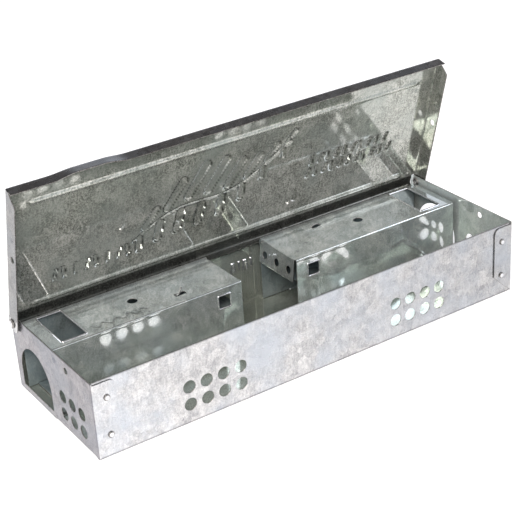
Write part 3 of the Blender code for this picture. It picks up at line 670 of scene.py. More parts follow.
lid = {
    "side": 134.8 * mm, "front": -45.0 * mm, "rear": 43.5 * mm, "top": 44.8 * mm, "open": math.radians(75),
    "lip": 6.3 * mm, "flange": 10.0 * mm, "rearFlange": 4.7 * mm, "fold": 0.9 * mm, "rearBend": 2.5 * mm,
    "strip": 131.8 * mm, "notch": 36.1 * mm, "earEnd": 43.3 * mm, "earCorner": 3.9 * mm,
    "beads": (5.5 * mm, 71.0 * mm), "beadDepth": 0.8 * mm, "beadHalf": 1.7 * mm, "beadEnd": 12.0 * mm,
    "liftAt": -91.0 * mm, "liftHalf": 8.0 * mm, "liftEase": 14.0 * mm,
    "liftOut": 1.0 * mm, "liftSplay": 1.0 * mm,
    "wave": 0.04 * mm, "chamfer": 5.5 * mm,
    "chamferLeast": 0.3,          # share of a side flange's depth left at its front corner
    "relief": 0.70 * mm, "reliefEdge": 1.1 * mm,
    # where the pressed figures lie and the grid is fine: along x, and back from the hinge
    "figures": (-112 * mm, 118 * mm), "figuresBack": (13 * mm, 62 * mm), "fineFrom": -124 * mm,
    "fine": 0.90 * mm, "fineAcross": 0.66 * mm,
}


def ornament():
    # Pressed decoration as round-ended bars (x, s, x, s, half width) in millimetres, s measured from the
    # hinge: a sprig with leaves in the middle, a row of short bars at the lower left, two at the upper right.
    bars = []
    t = np.linspace(0, 1, 15)
    stemX, stemS = -62 + 98 * t, 24 + 30 * t + 5.0 * np.sin(2 * np.pi * 1.15 * t)
    bars += [(*a, *b, 0.75) for a, b in zip(zip(stemX[:-1], stemS[:-1]), zip(stemX[1:], stemS[1:]))]
    leaves = ((0.04, 17, 2.0), (0.17, 24, 2.5), (0.30, 27, 2.7), (0.43, 26, 2.7),
              (0.56, 22, 2.5), (0.69, 18, 2.2), (0.82, 14, 1.9), (0.95, 11, 1.5))
    for place, long, wide in leaves:
        rootX, rootS = np.interp(place, t, stemX), np.interp(place, t, stemS)
        for sign, lean in ((1, 0.42), (-1, -0.30)):
            reach = long * (1.0 if sign > 0 else 0.62)
            tipX, tipS = rootX + lean * reach + 2.5, rootS + sign * reach * 0.85
            bars.append((rootX + 0.25 * (tipX - rootX), rootS + 0.25 * (tipS - rootS), tipX, tipS, wide))
    for n in range(9):
        x, lean = -109 + 6.3 * n, (1.4, -1.2, 0.0)[n % 3]
        bars.append((x, 16.2 + 0.1 * n, x + lean, 22.4 + 0.1 * n, (0.8, 1.1, 0.8)[n % 3]))
    for row, (first, low) in enumerate(((50.0, 29.5), (52.0, 37.5))):
        for n in range(11 - row):
            x, lean = first + 5.7 * n, (1.6, 0.6, 2.0, -0.6)[(n + row) % 4]
            bars.append((x, low, x + lean, low + 4.4, (0.75, 1.0)[(n + row) % 2]))
    return np.array(bars) * mm


def reliefHeight(x, s, bars, edge):
    # Height of the pressed figures: 1 inside a bar, easing to 0 over its edge. The distance to a bar is the
    # distance to the nearest point of its middle line, found by projecting onto it.
    height = np.zeros(np.broadcast(x, s).shape)
    for x0, s0, x1, s1, half in bars:
        dx, ds = x1 - x0, s1 - s0
        share = np.clip(((x - x0) * dx + (s - s0) * ds) / (dx * dx + ds * ds), 0, 1)
        away = np.hypot(x - x0 - share * dx, s - s0 - share * ds)
        height = np.maximum(height, smoothStep(1 - (away - half + edge / 2) / edge))
    return height


def swungOpen(points):
    # Turns points about the hinge axis: y and z rotate by the opening angle, the front edge going up.
    c, s = math.cos(lid["open"]), math.sin(lid["open"])
    y, z = points[..., 1] - hinge.y, points[..., 2] - hinge.z
    return np.stack([points[..., 0], hinge.y + c * y + s * z, hinge.z - s * y + c * z], -1)


def makeLid():
    # Two folded profiles cross: x with a flange drop at each side, y with the lip drop in front and the bend
    # behind. The surface lies at the top less the larger of the two drops, which closes the front corners.
    r, top = lid["fold"], lid["top"]
    t = np.linspace(0, np.pi / 2, 6)
    arc, arcDrop = r * (1 - np.sin(t)), r * (1 - np.cos(t))       # inset and drop round a fold, outwards
    lipDrops = np.linspace(r, lid["lip"], 8)
    flangeDrops = np.concatenate([lipDrops, np.linspace(lid["lip"], lid["flange"], 6)[1:]])
    xFlat = lineThrough([r - lid["side"], -lid["strip"], lid["fineFrom"], *lid["figures"], lid["strip"],
                         lid["side"] - r], [1 * mm, 1 * mm, 0.9 * mm, lid["fine"], 1.4 * mm, 1 * mm])
    xs = np.concatenate([np.full(len(flangeDrops), -lid["side"]), -lid["side"] + arc[::-1][1:-1], xFlat,
                         lid["side"] - arc[1:-1], np.full(len(flangeDrops), lid["side"])])
    xDrop = np.concatenate([flangeDrops[::-1], arcDrop[::-1][1:-1], np.zeros(len(xFlat)), arcDrop[1:-1],
                            flangeDrops])
    beadY = [hinge.y - back for back in lid["beads"]]
    half = lid["beadHalf"]
    rearFigure, frontFigure = (hinge.y - back for back in lid["figuresBack"])
    yFlat = lineThrough([lid["front"] + r, beadY[1] - half, beadY[1] + half, frontFigure, rearFigure,
                         beadY[0] - half, lid["notch"], lid["rear"] - lid["rearBend"]],
                        [1.4 * mm, 0.42 * mm, 1.2 * mm, lid["fineAcross"], 1.2 * mm, 0.42 * mm, 0.8 * mm])
    u = np.linspace(0, np.pi / 2, 9)
    bend = lid["rearBend"]
    rearDrops = np.linspace(bend, lid["rearFlange"], 4)
    ys = np.concatenate([np.full(len(lipDrops), lid["front"]), lid["front"] + arc[::-1][1:-1], yFlat,
                         lid["rear"] - bend * (1 - np.sin(u))[1:-1], np.full(len(rearDrops), lid["rear"])])
    yDrop = np.concatenate([lipDrops[::-1], arcDrop[::-1][1:-1], np.zeros(len(yFlat)),
                            bend * (1 - np.cos(u))[1:-1], rearDrops])
    x, y = np.meshgrid(xs, ys, indexing="ij")
    dropX, dropY = np.meshgrid(xDrop, yDrop, indexing="ij")
    chamfer = np.clip((y - lid["front"]) / lid["chamfer"], lid["chamferLeast"], 1)
    z = top - np.maximum(np.where(dropX > r, r + (dropX - r) * chamfer, dropX), dropY)
    onPanel = smoothStep((lid["side"] - 4 * mm - abs(x)) / (6 * mm)) * (dropX == 0)
    for middle in beadY:
        reach = smoothStep((lid["side"] - lid["beadEnd"] - abs(x)) / (2.4 * mm))
        z = z - lid["beadDepth"] * reach * np.cos(np.clip(abs(y - middle) / half, 0, 1) * np.pi / 2) ** 2
    s = hinge.y - y
    z = z + lid["relief"] * reliefHeight(x, s, ornament(), lid["reliefEdge"]) * (dropY == 0)
    still = smoothStep((s - 9 * mm) / (10 * mm)) * smoothStep((68 * mm - s) / (8 * mm))
    z = z + lid["wave"] * ripple(x, s, (120 * mm, 71 * mm, 43 * mm), 0.2) * still * onPanel
    # finger lift: the fold and, further, the lip's free edge stand out over a flat-topped hump
    hump = smoothStep((lid["liftHalf"] + lid["liftEase"] - abs(x - lid["liftAt"])) / lid["liftEase"])
    near = smoothStep(1 - (y - lid["front"]) / (5 * mm))
    splay = np.clip(dropY / lid["lip"], 0, 1) * (y < 0)
    y = y - hump * (lid["liftOut"] * near + lid["liftSplay"] * splay)
    # latch bumps on the side flanges, pressed inwards
    bumpAway = np.hypot(y - plate["latchHole"], z - plate["latchHeight"])
    onFlange = dropX > r * 0.99
    hill = smoothStep((plate["latchRadius"] - bumpAway) / (0.9 * mm))
    x = x - np.sign(x) * plate["bump"] * hill * onFlange
    points = np.stack([x, y, z], -1)

    cellX = np.minimum(dropX[:-1, :-1], dropX[1:, 1:])
    cellY = np.minimum(dropY[:-1, :-1], dropY[1:, 1:])
    midX = abs(xs[:-1] + xs[1:])[:, None] / 2
    midY = (ys[:-1] + ys[1:])[None] / 2
    keep = ~((cellX > r * 0.99) & (cellY > r * 0.99) & (midY < 0))
    keep &= ~((midY > lid["notch"]) & (midX > lid["strip"]))

    ears = []
    earDrops = np.concatenate([arcDrop[:-1], flangeDrops])
    inset = np.concatenate([arc[:-1], np.zeros(len(flangeDrops))])
    w = np.linspace(0, 1, 12)
    corner = lid["earCorner"]
    q = np.clip(np.maximum(corner - earDrops, earDrops - (lid["flange"] - corner)), 0, corner)
    reach = lid["earEnd"] - (corner - np.sqrt(corner ** 2 - q ** 2)) - lid["notch"]
    for end in (-1, 1):
        ear = np.empty((len(earDrops), len(w), 3))
        ear[..., 0] = end * (lid["side"] - inset[:, None] * (1 - smoothStep(w * 4))[None])
        ear[..., 1] = lid["notch"] + reach[:, None] * w[None]
        ear[..., 2] = (top - earDrops)[:, None]
        ears.append(swungOpen(ear))
    outward = swungOpen(np.array([[0, 0, 1.0]]))[0] - swungOpen(np.zeros((1, 3)))[0]
    made = foldedSheet("lid_sheet", swungOpen(points), outward, [zincBright, zincLid, cutEdgeAndRimShade], keep, ears)
    thicken(made)

    punches = []
    hole = lambda grown: circleLine(plate["rivetHole"], grown, 24)
    for end in (-1, 1):
        outside = facingX(end * lid["side"], end)
        for spot in ((hinge.y, hinge.z), (plate["latchBump"], plate["latchHeight"])):
            punches.append(swungOpen(punch(at(hole, *spot), outside)))
    cutOut(made, punches, cutEdgeAndRimShade)
    spots = pointsOf(made)
    cosOpen, sinOpen = math.cos(lid["open"]), math.sin(lid["open"])
    back = cosOpen * (spots[:, 1] - hinge.y) - sinOpen * (spots[:, 2] - hinge.z)
    height = reliefHeight(spots[:, 0], -back, ornament(), lid["reliefEdge"])
    paintShadeLine(made, 4 * height * (1 - height))                     # painted shade, strongest where the relief is steep
    smooth(made)
    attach(made, "lid")
    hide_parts("lid")
    return made


makeLid()
report("lid")

# tunnels: an inverted U with a flange turned down over its inner end

tunnel = {
    "foot": 0.8 * mm, "flange": 14.0 * mm, "tilt": math.radians(7), "flangeInset": 1.3 * mm,
    "windowFrom": 8.0 * mm, "windowLong": 14.0 * mm, "windowMargin": 3.4 * mm,
    "sideWindow": 7.5 * mm, "sideWindowFrom": 11.3 * mm, "sideWindowDrop": 8.5 * mm,
    "topHole": 2.7 * mm, "flangeHole": 2.2 * mm, "flangePitch": 11.4 * mm, "flangeHoleDrop": 8.2 * mm,
    "lanceFrom": 33.0 * mm, "lanceAside": 9.6 * mm, "lanceLong": 6.4 * mm, "lanceWide": 2.8 * mm,
    "lanceStrip": 1.4 * mm, "lanceThick": 0.45 * mm, "lanceEdge": 0.06 * mm,
    "lanceRise": 1.5 * mm, "lanceTurn": math.radians(62),
    "rim": 0.5 * mm, "pinHole": 1.3 * mm, "footTab": 6.0 * mm, "slotPlay": 0.3 * mm,
    "wave": {-1: 0.05 * mm, 1: 0.22 * mm}, "topWave": 0.04 * mm,
    "stamp": 0.35 * mm, "stampAt": (88.0 * mm, 9.4 * mm), "stampLong": 17 * mm,
    "stampSwing": 1.7 * mm, "stampPitch": 7.5 * mm, "stampHalf": 0.9 * mm,
    # how far a side leans outwards in degrees, at heights in mm
    "lean": ((0, -5.2), (8, -5.2), (9.5, 0.9), (18, 0.9), (25, 2.4), (38, 2.4), (39.5, 0)),
}
rampSize = {
    "outer": 126.0 * mm, "inner": 20.0 * mm, "low": 1.5 * mm, "high": 25.0 * mm, "ease": 26.0 * mm,
    "lip": 18.0 * mm,
    "pinAt": 0.47, "pinUnder": 2.4 * mm, "pinHole": 1.3 * mm, "ear": 2.5 * mm, "side": 0.7 * mm,
    "rib": 0.5 * mm, "ribHalf": 2.6 * mm, "edge": 0.08 * mm,
    "lipSlope": 0.65,             # the inner lip climbs at this share of the ramp's slope
}


def rampHeight(along):
    # Top of the ramp at a distance from its outer end: a parabola, then a straight climb, then a gentler lip.
    size = rampSize
    length = size["outer"] - size["inner"]
    slope = (size["high"] - size["low"]) / (length - 0.5 * size["ease"] - 0.35 * size["lip"])
    eased = 0.5 * slope * np.minimum(along, size["ease"]) ** 2 / size["ease"]
    straight = slope * np.clip(along - size["ease"], 0, length - size["lip"] - size["ease"])
    gentler = size["lipSlope"] * slope * np.clip(along - (length - size["lip"]), 0, None)
    return size["low"] + eased + straight + gentler


rampLength = rampSize["outer"] - rampSize["inner"]
pinX = rampSize["inner"] + rampSize["pinAt"] * rampLength
pinZ = float(rampHeight((1 - rampSize["pinAt"]) * rampLength)) - sheet["thick"] - rampSize["pinUnder"]


def sideBow(z):
    # How far a tunnel's side stands out at a height: the tangents of its leans, summed from the top
    # downwards, and never less than 0.
    heights = np.linspace(tunnelSize["top"], 0, 400)
    leanAt, leanBy = np.array(tunnel["lean"]).T
    slopes = np.interp(heights, leanAt * mm, leanBy)
    out = np.cumsum(np.tan(np.radians(slopes))) * (heights[0] - heights[1])
    return np.clip(np.interp(z, heights[::-1], out[::-1]), 0, None)


def makeRim(name, outline, place, radius):
    # The rolled burr round a window: a circle (radius cos t, radius sin t) carried round the outline.
    t = np.linspace(0, 2 * np.pi, 9)
    rings = [place(*outline(radius * (0.4 + math.cos(a))).T, radius * (0.2 + math.sin(a))) for a in t]
    points = np.array([np.stack(np.broadcast_arrays(*ring), -1) for ring in rings])
    made = newObject(name, points, gridFaces(points.shape[0], points.shape[1], closed=True), [zincRivetAndHighlight])
    cleanMesh(made, merge=0.004 * mm)
    smooth(made, 50)
    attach(made, "tray")


def flourish(x, y):
    # Stamped wavy line along the left tunnel's top, no lettering: 1 on the curve
    # y = swing sin(2 pi x / pitch), easing to 0 at half its width.
    away = x - tunnel["stampAt"][0]
    wave = tunnel["stampSwing"] * np.sin(2 * np.pi * away / tunnel["stampPitch"])
    off = abs(y - tunnel["stampAt"][1] - wave)
    within = smoothStep((tunnel["stampLong"] - abs(away)) / (2 * mm))
    return smoothStep(1 - off / tunnel["stampHalf"]) * within


def makeTunnel(name, node, end):
    # Profile (y, z) of an inverted U carried along x, with a second strip that folds down over the inner end.
    size, low, high = tunnel, tunnelSize["inner"], tunnelSize["outer"]
    profile = foldedLine([(tunnelSize["front"], size["foot"]), (tunnelSize["front"], tunnelSize["top"]),
                          (tunnelSize["back"], tunnelSize["top"]), (tunnelSize["back"], size["foot"])],
                         sheet["fold"], [1.6 * mm, 0.75 * mm, 1.6 * mm])
    y, z = profile.T
    fold = sheet["fold"] * math.tan((math.pi / 2 - size["tilt"]) / 2)
    x = lineThrough([low, low + fold, high], [0.5 * mm, 0.9 * mm])
    onTop = z > tunnelSize["top"] - 1e-6
    points = np.empty((len(x), len(y), 3))
    points[..., 0], points[..., 1], points[..., 2] = x[:, None], y[None], z[None]
    inside = smoothStep((x - low - 3 * mm) / (12 * mm)) * smoothStep((high - 1 * mm - x) / (10 * mm))
    under = smoothStep((tunnelSize["top"] - 2 * mm - z) / (8 * mm))
    bow = ripple(x[:, None], z[None], (47 * mm, 29 * mm, 17 * mm), 0.9 + end)
    outside = np.sign(y - tunnelMid) * (abs(y - tunnelMid) > tunnelSize["back"] - tunnelMid - 1e-5)
    sideWave = size["wave"][end] * bow * inside[:, None] * under[None]
    points[..., 1] += (sideBow(z) * inside[:, None] + sideWave) * (outside * (y < tunnelMid))[None]
    inTab = np.zeros(len(x), bool)
    for inset in channel["slots"]:
        inTab |= abs(x - (high - inset)) < size["footTab"] / 2
    points[..., 2] -= (sheet["gap"] + size["slotPlay"]) * (z < size["foot"] + 1e-6)[None] * inTab[:, None]
    across = smoothStep((abs(y - tunnelMid) * -1 + 16 * mm) / (6 * mm)) * onTop
    topBow = size["topWave"] * ripple(x[:, None], y[None], (60 * mm, 31 * mm), 2.2 * end)
    points[..., 2] += topBow * inside[:, None] * across[None]
    if end < 0:
        points[..., 2] -= size["stamp"] * flourish(x[:, None], y[None]) * onTop[None]
    cellX = (x[:-1] + x[1:])[:, None] / 2
    cellY = abs(y[:-1] + y[1:] - 2 * tunnelMid)[None] / 2
    wide = (tunnelSize["back"] - tunnelSize["front"]) / 2
    flangeHalf = wide - size["flangeInset"]
    columns = np.where(onTop & (abs(y - tunnelMid) < flangeHalf))[0]
    columnHalf = max(abs(y[columns] - tunnelMid))
    keep = ~((cellX < low + fold) & (cellY < columnHalf) & (onTop[:-1] & onTop[1:])[None])
    lean = size["flange"] * math.tan(size["tilt"])
    bend = foldedLine([(low + fold, tunnelSize["top"]), (low, tunnelSize["top"]),
                       (low - lean, tunnelSize["top"] - size["flange"])], sheet["fold"] * 0.999, 1.2 * mm)
    flange = np.empty((len(bend), len(columns), 3))
    flange[..., 0], flange[..., 2], flange[..., 1] = bend[:, 0, None], bend[:, 1, None], y[columns][None]
    for patch in (points, flange):
        patch[..., 0] *= end
    made = foldedSheet(name, points, (0, 0, 1), [zincTunnel, zincDull, cutEdgeAndRimShade], keep, [flange])
    thicken(made)

    above = facingZ(tunnelSize["top"], 1)
    windowX = high - size["windowFrom"] - size["windowLong"] / 2
    windowWide = 2 * (wide - size["windowMargin"])
    window = lambda grown: rectangleLine(size["windowLong"], windowWide, 0.8 * mm, grown)
    square = lambda grown: rectangleLine(size["sideWindow"], size["sideWindow"], 0.5 * mm, grown)
    slit = lambda grown: rectangleLine(size["lanceLong"], size["lanceWide"], 0.25 * mm, grown, 2)
    circle = lambda radius, sides=32: lambda grown: circleLine(radius, grown, sides)
    squareSpot = (end * (low + size["sideWindowFrom"]), tunnelSize["top"] - size["sideWindowDrop"])
    lanceX, lanceY = end * (low + size["lanceFrom"]), tunnelMid + end * size["lanceAside"]
    punches = [punch(at(window, end * windowX, tunnelMid), above, reach=2 * mm),
               punch(at(circle(size["topHole"]), end * (low + high) / 2, tunnelMid), above, reach=2 * mm),
               punch(at(slit, lanceX, lanceY), above, reach=2 * mm)]
    for sign, wall in ((-1, tunnelSize["front"]), (1, tunnelSize["back"])):
        outside = facingY(wall, sign)
        punches.append(punch(at(square, *squareSpot), outside))
        punches.append(punch(at(circle(size["pinHole"], 20), end * pinX, pinZ), outside))
    slope = math.tan(size["tilt"])
    face = lambda a, b, out: (end * (low - (tunnelSize["top"] - b) * slope - out), a, b)
    for step in (-1, 0, 1):
        spot = (tunnelMid + step * size["flangePitch"], tunnelSize["top"] - size["flangeHoleDrop"])
        punches.append(punch(at(circle(size["flangeHole"]), *spot), face))
    cutOut(made, punches, cutEdgeAndRimShade)
    if end < 0:
        spots = pointsOf(made)
        onFace = spots[:, 2] > tunnelSize["top"] - sheet["thick"]
        # painted shade in the stamped groove
        paintShadeLine(made, 0.8 * flourish(-spots[:, 0], spots[:, 1]) * onFace)
    smooth(made)
    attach(made, "tray")
    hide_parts(node)

    for n, (outline, wall) in enumerate((
            (at(window, end * windowX, tunnelMid), above),
            (at(square, *squareSpot), facingY(tunnelSize["front"], -1)))):
        makeRim(name.replace("sheet", ("window_rim", "side_window_rim")[n]), outline, wall, size["rim"])

    # lanced tongue beside its slit: on the right a strip whose height follows a cosine, on the left a tab
    # bent upwards
    along, over = np.meshgrid(np.linspace(-1, 1, 15), np.linspace(-1, 1, 5), indexing="ij")
    tongue = np.empty(along.shape + (3,))
    tongue[..., 1] = lanceY + 0.5 * size["lanceStrip"] * over
    if end > 0:
        tongue[..., 0] = lanceX + 0.5 * size["lanceLong"] * along
        tongue[..., 2] = tunnelSize["top"] + size["lanceRise"] * np.cos(np.pi / 2 * along) ** 0.7
    else:
        turn = np.clip((along + 0.9) / 0.7, 0, 1) * size["lanceTurn"]
        pace = size["lanceLong"] / (len(along) - 1)
        tongue[..., 0] = lanceX - 0.5 * size["lanceLong"] + np.cumsum(np.cos(turn), 0) * pace
        tongue[..., 2] = tunnelSize["top"] + np.cumsum(np.sin(turn), 0) * pace * 0.8
    # the tongue takes the brighter rivet finish: a painted highlight that makes it a bright sliver
    piece = foldedSheet(name.replace("sheet", "tongue"), tongue, (0, 0, 1), [zincRivetAndHighlight, zincDull, cutEdgeAndRimShade])
    thicken(piece, size["lanceThick"], size["lanceEdge"])
    smooth(piece)
    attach(piece, "tray")
    return made


for side, end in (("left", -1), ("right", 1)):
    makeTunnel(f"{side}_tunnel_sheet", f"{side}_tunnel", end)
report("tunnels")

# ramps: see-saw plates with an ear at each side for the pin


def makeRamp(name, node, end):
    # Profile of the ramp carried across y, with a shallow pressed rib along its middle. Each ear is a grid
    # from the plate's edge down to a half circle round the pin.
    size = rampSize
    front = tunnelSize["front"] + sheet["thick"] + size["side"]
    back = tunnelSize["back"] - sheet["thick"] - size["side"]
    x = lineThrough([size["inner"], pinX - size["ear"], pinX + size["ear"], size["outer"]],
                    [2 * mm, 0.42 * mm, 2 * mm])
    y = lineThrough([front, tunnelMid - 4 * mm, tunnelMid + 4 * mm, back], [2 * mm, 0.6 * mm, 2 * mm])
    height = rampHeight(size["outer"] - x)
    points = np.empty((len(x), len(y), 3))
    points[..., 0], points[..., 1], points[..., 2] = x[:, None], y[None], height[:, None]
    rib = np.cos(np.clip(abs(y - tunnelMid) / size["ribHalf"], 0, 1) * np.pi / 2) ** 2
    lengthwise = (smoothStep((x - size["inner"] - 10 * mm) / (4 * mm))
                  * smoothStep((size["outer"] - 26 * mm - x) / (4 * mm)))
    points[..., 2] -= size["rib"] * rib[None] * lengthwise[:, None]
    near = np.where(abs(x - pinX) < size["ear"] + 0.01 * mm)[0]
    low = pinZ - np.sqrt(np.clip(size["ear"] ** 2 - (x[near] - pinX) ** 2, 0, None))
    w = np.linspace(0, 1, 7)
    ears = []
    for wall in (front, back):
        ear = np.empty((len(near), len(w), 3))
        ear[..., 0], ear[..., 1] = x[near][:, None], wall
        ear[..., 2] = height[near][:, None] * (1 - w)[None] + low[:, None] * w[None]
        ears.append(ear)
    for patch in [points] + ears:
        patch[..., 0] *= end
    made = foldedSheet(name, points, (0, 0, 1), [zincDull, zincDull, cutEdgeAndRimShade], extra=ears)
    thicken(made, edge=size["edge"])
    hole = lambda grown: circleLine(size["pinHole"], grown, 20)
    punches = [punch(at(hole, end * pinX, pinZ), facingY(wall, sign))
               for wall, sign in ((front, -1), (back, 1))]
    cutOut(made, punches, cutEdgeAndRimShade)
    smooth(made)
    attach(made, node)
    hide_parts(node)
    return made


for side, end in (("left", -1), ("right", 1)):
    makeRamp(f"{side}_ramp_sheet", f"{side}_ramp", end)
report("ramps")

# rivets and pins

rivets = {
    "clinch": {"shank": 0.9 * mm, "head": 1.7 * mm, "dome": 0.7 * mm, "dimple": 0.22 * mm},
    "hinge": {"shank": 1.5 * mm, "head": 2.6 * mm, "dome": 1.0 * mm, "dimple": 0.30 * mm},
    "pin": {"shank": 1.0 * mm, "head": 1.9 * mm, "dome": 0.7 * mm, "dimple": 0.20 * mm},
}
rivetShape = {"sides": 28, "dimpleWide": 0.42, "shadedRim": 0.66}       # the last two are shares of the head


def makeRivet(name, node, kind, centre, axis, upper, lower):
    # A profile (radius, height) turned about its axis: a domed head, the shank, and a set tail with a dimple.
    size = rivets[kind]
    t = np.linspace(0, np.pi / 2, 9)
    head = np.stack([size["head"] * np.sin(t), upper + size["dome"] * np.cos(t)], -1)
    tail = np.stack([size["head"] * np.sin(t), lower - size["dome"] * np.cos(t) * 0.95], -1)[::-1]
    hollow = lambda radius: np.exp(-(radius / (rivetShape["dimpleWide"] * size["head"])) ** 2 * 2)
    tail[:, 1] += size["dimple"] * hollow(tail[:, 0])
    head[:, 1] -= 0.4 * size["dimple"] * hollow(head[:, 0])
    under = size["head"] * 0.985
    shank = [(under, upper), (size["shank"], upper), (size["shank"], lower), (under, lower)]
    profile = np.vstack([head, shank, tail])
    turn = np.linspace(0, 2 * np.pi, rivetShape["sides"], endpoint=False)
    across = np.stack([np.outer(profile[:, 0], np.cos(turn)), np.outer(profile[:, 0], np.sin(turn))], -1)
    height = np.repeat(profile[:, 1, None], len(turn), 1)
    order = {"x": (height, across[..., 0], across[..., 1]),
             "y": (across[..., 0], height, across[..., 1])}[axis]
    points = np.stack(order, -1) + np.array(centre)
    made = newObject(name, points, gridFaces(len(profile), len(turn), closed=True), [zincRivetAndHighlight, cutEdgeAndRimShade])
    cleanMesh(made, merge=0.004 * mm)
    middles = np.zeros(len(made.data.polygons) * 3)
    made.data.polygons.foreach_get("center", middles)
    offset = middles.reshape(-1, 3) - np.array(centre)
    offset[:, "xyz".index(axis)] = 0
    # the head's outer ring takes the dark edge finish: painted shade where the head meets the sheet
    rim = np.linalg.norm(offset, axis=1) > rivetShape["shadedRim"] * size["head"]
    made.data.polygons.foreach_set("material_index", rim.astype(int))
    smooth(made, 40)
    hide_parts(node)
    return made


# back wall stamp: where its first bar stands, its foot and top, the bars' spacing and half width
stamp = {
    "from": 0.5 * mm, "low": 21.4 * mm, "high": 27.0 * mm, "pitch": 2.7 * mm, "half": 0.6 * mm,
    "count": 6, "proud": 0.5 * mm, "sunk": 0.1 * mm, "cell": 0.25 * mm, "margin": 1 * mm, "edge": 0.5 * mm,
}


def makeStamp():
    # Six short bars pressed out of the back wall between the tunnels, some leaning, no lettering. Height over
    # the wall is the relief of the bars, on a grid of x and z.
    size = stamp
    cell, margin = size["cell"], size["margin"]
    x, z = np.meshgrid(steps(size["from"] - margin, size["from"] + size["count"] * size["pitch"], cell),
                       steps(size["low"] - margin, size["high"] + margin, cell), indexing="ij")
    first = size["from"] + size["pitch"] * np.arange(size["count"])
    lean = np.resize([0.8, -0.8, 0], size["count"]) * mm
    low = size["low"] + np.resize([0, 0, 1.2], size["count"]) * mm
    high, half = np.full(size["count"], size["high"]), np.full(size["count"], size["half"])
    bars = np.stack([first, low, first + lean, high, half], -1)
    height = reliefHeight(x, z, bars, size["edge"])
    sunk = size["sunk"]
    points = np.stack([x, box["wall"] - sheet["thick"] + sunk - (size["proud"] + sunk) * height, z], -1)
    keep = height[1:, 1:] + height[:-1, :-1] > 0.02
    made = foldedSheet("back_wall_stamp", points, (0, -1, 0), [zincRivetAndHighlight], keep=keep)
    thicken(made, 0.1 * mm, 0)
    smooth(made)
    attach(made, "tray")


makeStamp()
seat = (tunnelSize["back"] - tunnelSize["front"]) / 2 + sheet["gap"]
for side, end in (("left", -1), ("right", 1)):
    spot = (end * pinX, tunnelMid, pinZ)
    label, frontEnd = f"{side}_ramp_pin", -seat - sideBow(pinZ) * 1.02
    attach(makeRivet(f"{label}_turned", label, "pin", spot, "y", seat, frontEnd), "tray")
    outer, inner = lid["side"] + sheet["gap"], box["half"] - sheet["thick"] - sheet["gap"]
    ends = (outer, inner) if end > 0 else (-inner, -outer)
    label, spot = f"{side}_lid_rivet", (0, hinge.y, hinge.z)
    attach(makeRivet(f"{label}_turned", label, "hinge", spot, "x", *ends), "tray")
    for face, word in ((-1, "front"), (1, "back")):
        outer, inner = box["side"] + sheet["gap"], box["wall"] - sheet["thick"] - sheet["gap"]
        ends = (outer, inner) if face > 0 else (-inner, -outer)
        for height, level in zip(channel["rivets"], ("lower", "upper")):
            spot = (end * (box["half"] - channel["rivetIn"]), 0, height)
            label = f"{side}_{word}_{level}_rivet"
            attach(makeRivet(f"{label}_turned", label, "clinch", spot, "y", *ends), "tray")
report("rivets")

# floor, light and camera

studio = {
    "floor": "#f4f3f2", "floorGlow": 0.50, "floorHalf": 3, "floorDrop": 0.2 * mm,
    "horizon": "#eef1f6", "zenith": "#463f3b", "ceilingFrom": 0.46, "ceilingTo": 0.70,
    "worldStrength": 1.1, "aim": (0, 0, 0.04),
    "key": {"place": (-0.55, -0.70, 0.80), "size": (0.5, 0.5), "power": 11.0, "colour": "#fffaf4"},
    "fill": {"place": (1.05, -0.75, 0.75), "size": (0.8, 0.6), "power": 6.0, "colour": "#f2f5ff"},
    "back": {"place": (-1.05, 1.0, 0.6), "size": (0.9, 0.5), "power": 5.0, "colour": "#ffffff"},
}


def makeFloor():
    made, tree = newMaterial("plain pale floor")
    shader = addNode(tree, "ShaderNodeBsdfPrincipled", None,
                     {"Base Color": linear(studio["floor"]), "Roughness": 0.85,
                      "Emission Color": (1, 1, 1, 1), "Emission Strength": studio["floorGlow"]})
    addNode(tree, "ShaderNodeOutputMaterial", links={"Surface": (shader, "BSDF")})
    line = np.linspace(-studio["floorHalf"], studio["floorHalf"], 3)
    u, v = np.meshgrid(line, line, indexing="ij")
    floor = newObject("floor", np.stack([u, v, 0 * u - studio["floorDrop"]], -1), gridFaces(3, 3), [made])
    cleanMesh(floor, (0, 0, 1))


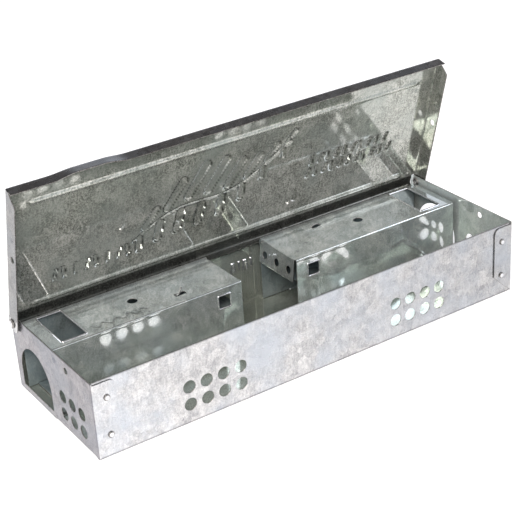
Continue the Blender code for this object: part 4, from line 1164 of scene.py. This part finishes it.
def makeWorld():
    # A pale cove round the table that darkens to a brown ceiling overhead.
    world = bpy.data.worlds.new("studio")
    bpy.context.scene.world = world
    world.use_nodes = True
    tree = world.node_tree
    tree.nodes.clear()
    where = addNode(tree, "ShaderNodeTexCoord")
    parts = addNode(tree, "ShaderNodeSeparateXYZ", links={"Vector": (where, "Generated")})
    band = addNode(tree, "ShaderNodeValToRGB", links={"Fac": (parts, "Z")},
                   stops=[(studio["ceilingFrom"], linear(studio["horizon"])),
                          (studio["ceilingTo"], linear(studio["zenith"]))])
    glow = addNode(tree, "ShaderNodeBackground", None, {"Strength": studio["worldStrength"]},
                   {"Color": (band, "Color")})
    addNode(tree, "ShaderNodeOutputWorld", links={"Surface": (glow, "Background")})


def makeLight(name, settings):
    lamp = bpy.data.lights.new(name, "AREA")
    lamp.shape, (lamp.size, lamp.size_y) = "RECTANGLE", settings["size"]
    lamp.energy, lamp.color = settings["power"], linear(settings["colour"])[:3]
    holder = bpy.data.objects.new(name, lamp)
    place = Vector(settings["place"])
    turned = (Vector(studio["aim"]) - place).to_track_quat("-Z", "Y").to_matrix().to_4x4()
    holder.matrix_world = Matrix.Translation(place) @ turned
    bpy.context.scene.collection.objects.link(holder)


# angles in degrees, lengths in millimetres; focal is the focal length when the frame is frameWide wide
viewpoint = {
    "azimuth": -32.499, "elevation": 27.366, "roll": -3.589,
    "target": (-6.425, 0, 48.93), "distance": 743.212,
    "focal": 1393.863, "frameWide": 522, "sensor": 36.0,
}


def makeCamera():
    # The camera looks at a point on the box from an azimuth and elevation, and is rolled a little.
    azimuth, elevation, roll = (math.radians(viewpoint[turn]) for turn in ("azimuth", "elevation", "roll"))
    target, distance = Vector(viewpoint["target"]) * mm, viewpoint["distance"] * mm
    level = math.cos(elevation)
    away = Vector((level * math.sin(azimuth), -level * math.cos(azimuth), math.sin(elevation)))
    right = (-away).cross(Vector((0, 0, 1))).normalized()
    up = right.cross(-away)
    right, up = right * math.cos(roll) + up * math.sin(roll), up * math.cos(roll) - right * math.sin(roll)
    lens = bpy.data.cameras.new("camera")
    lens.sensor_width = viewpoint["sensor"]
    lens.lens = viewpoint["focal"] * viewpoint["sensor"] / viewpoint["frameWide"]
    lens.clip_start, lens.clip_end = 0.02, 20
    camera = bpy.data.objects.new("camera", lens)
    turned = Matrix((right, up, away)).transposed().to_4x4()
    camera.matrix_world = Matrix.Translation(target + away * distance) @ turned
    bpy.context.scene.collection.objects.link(camera)
    bpy.context.scene.camera = camera


makeFloor()
makeWorld()
for lightName in ("key", "fill", "back"):
    makeLight(lightName, studio[lightName])
makeCamera()
bpy.context.scene.view_settings.view_transform = "Standard"
report("studio")
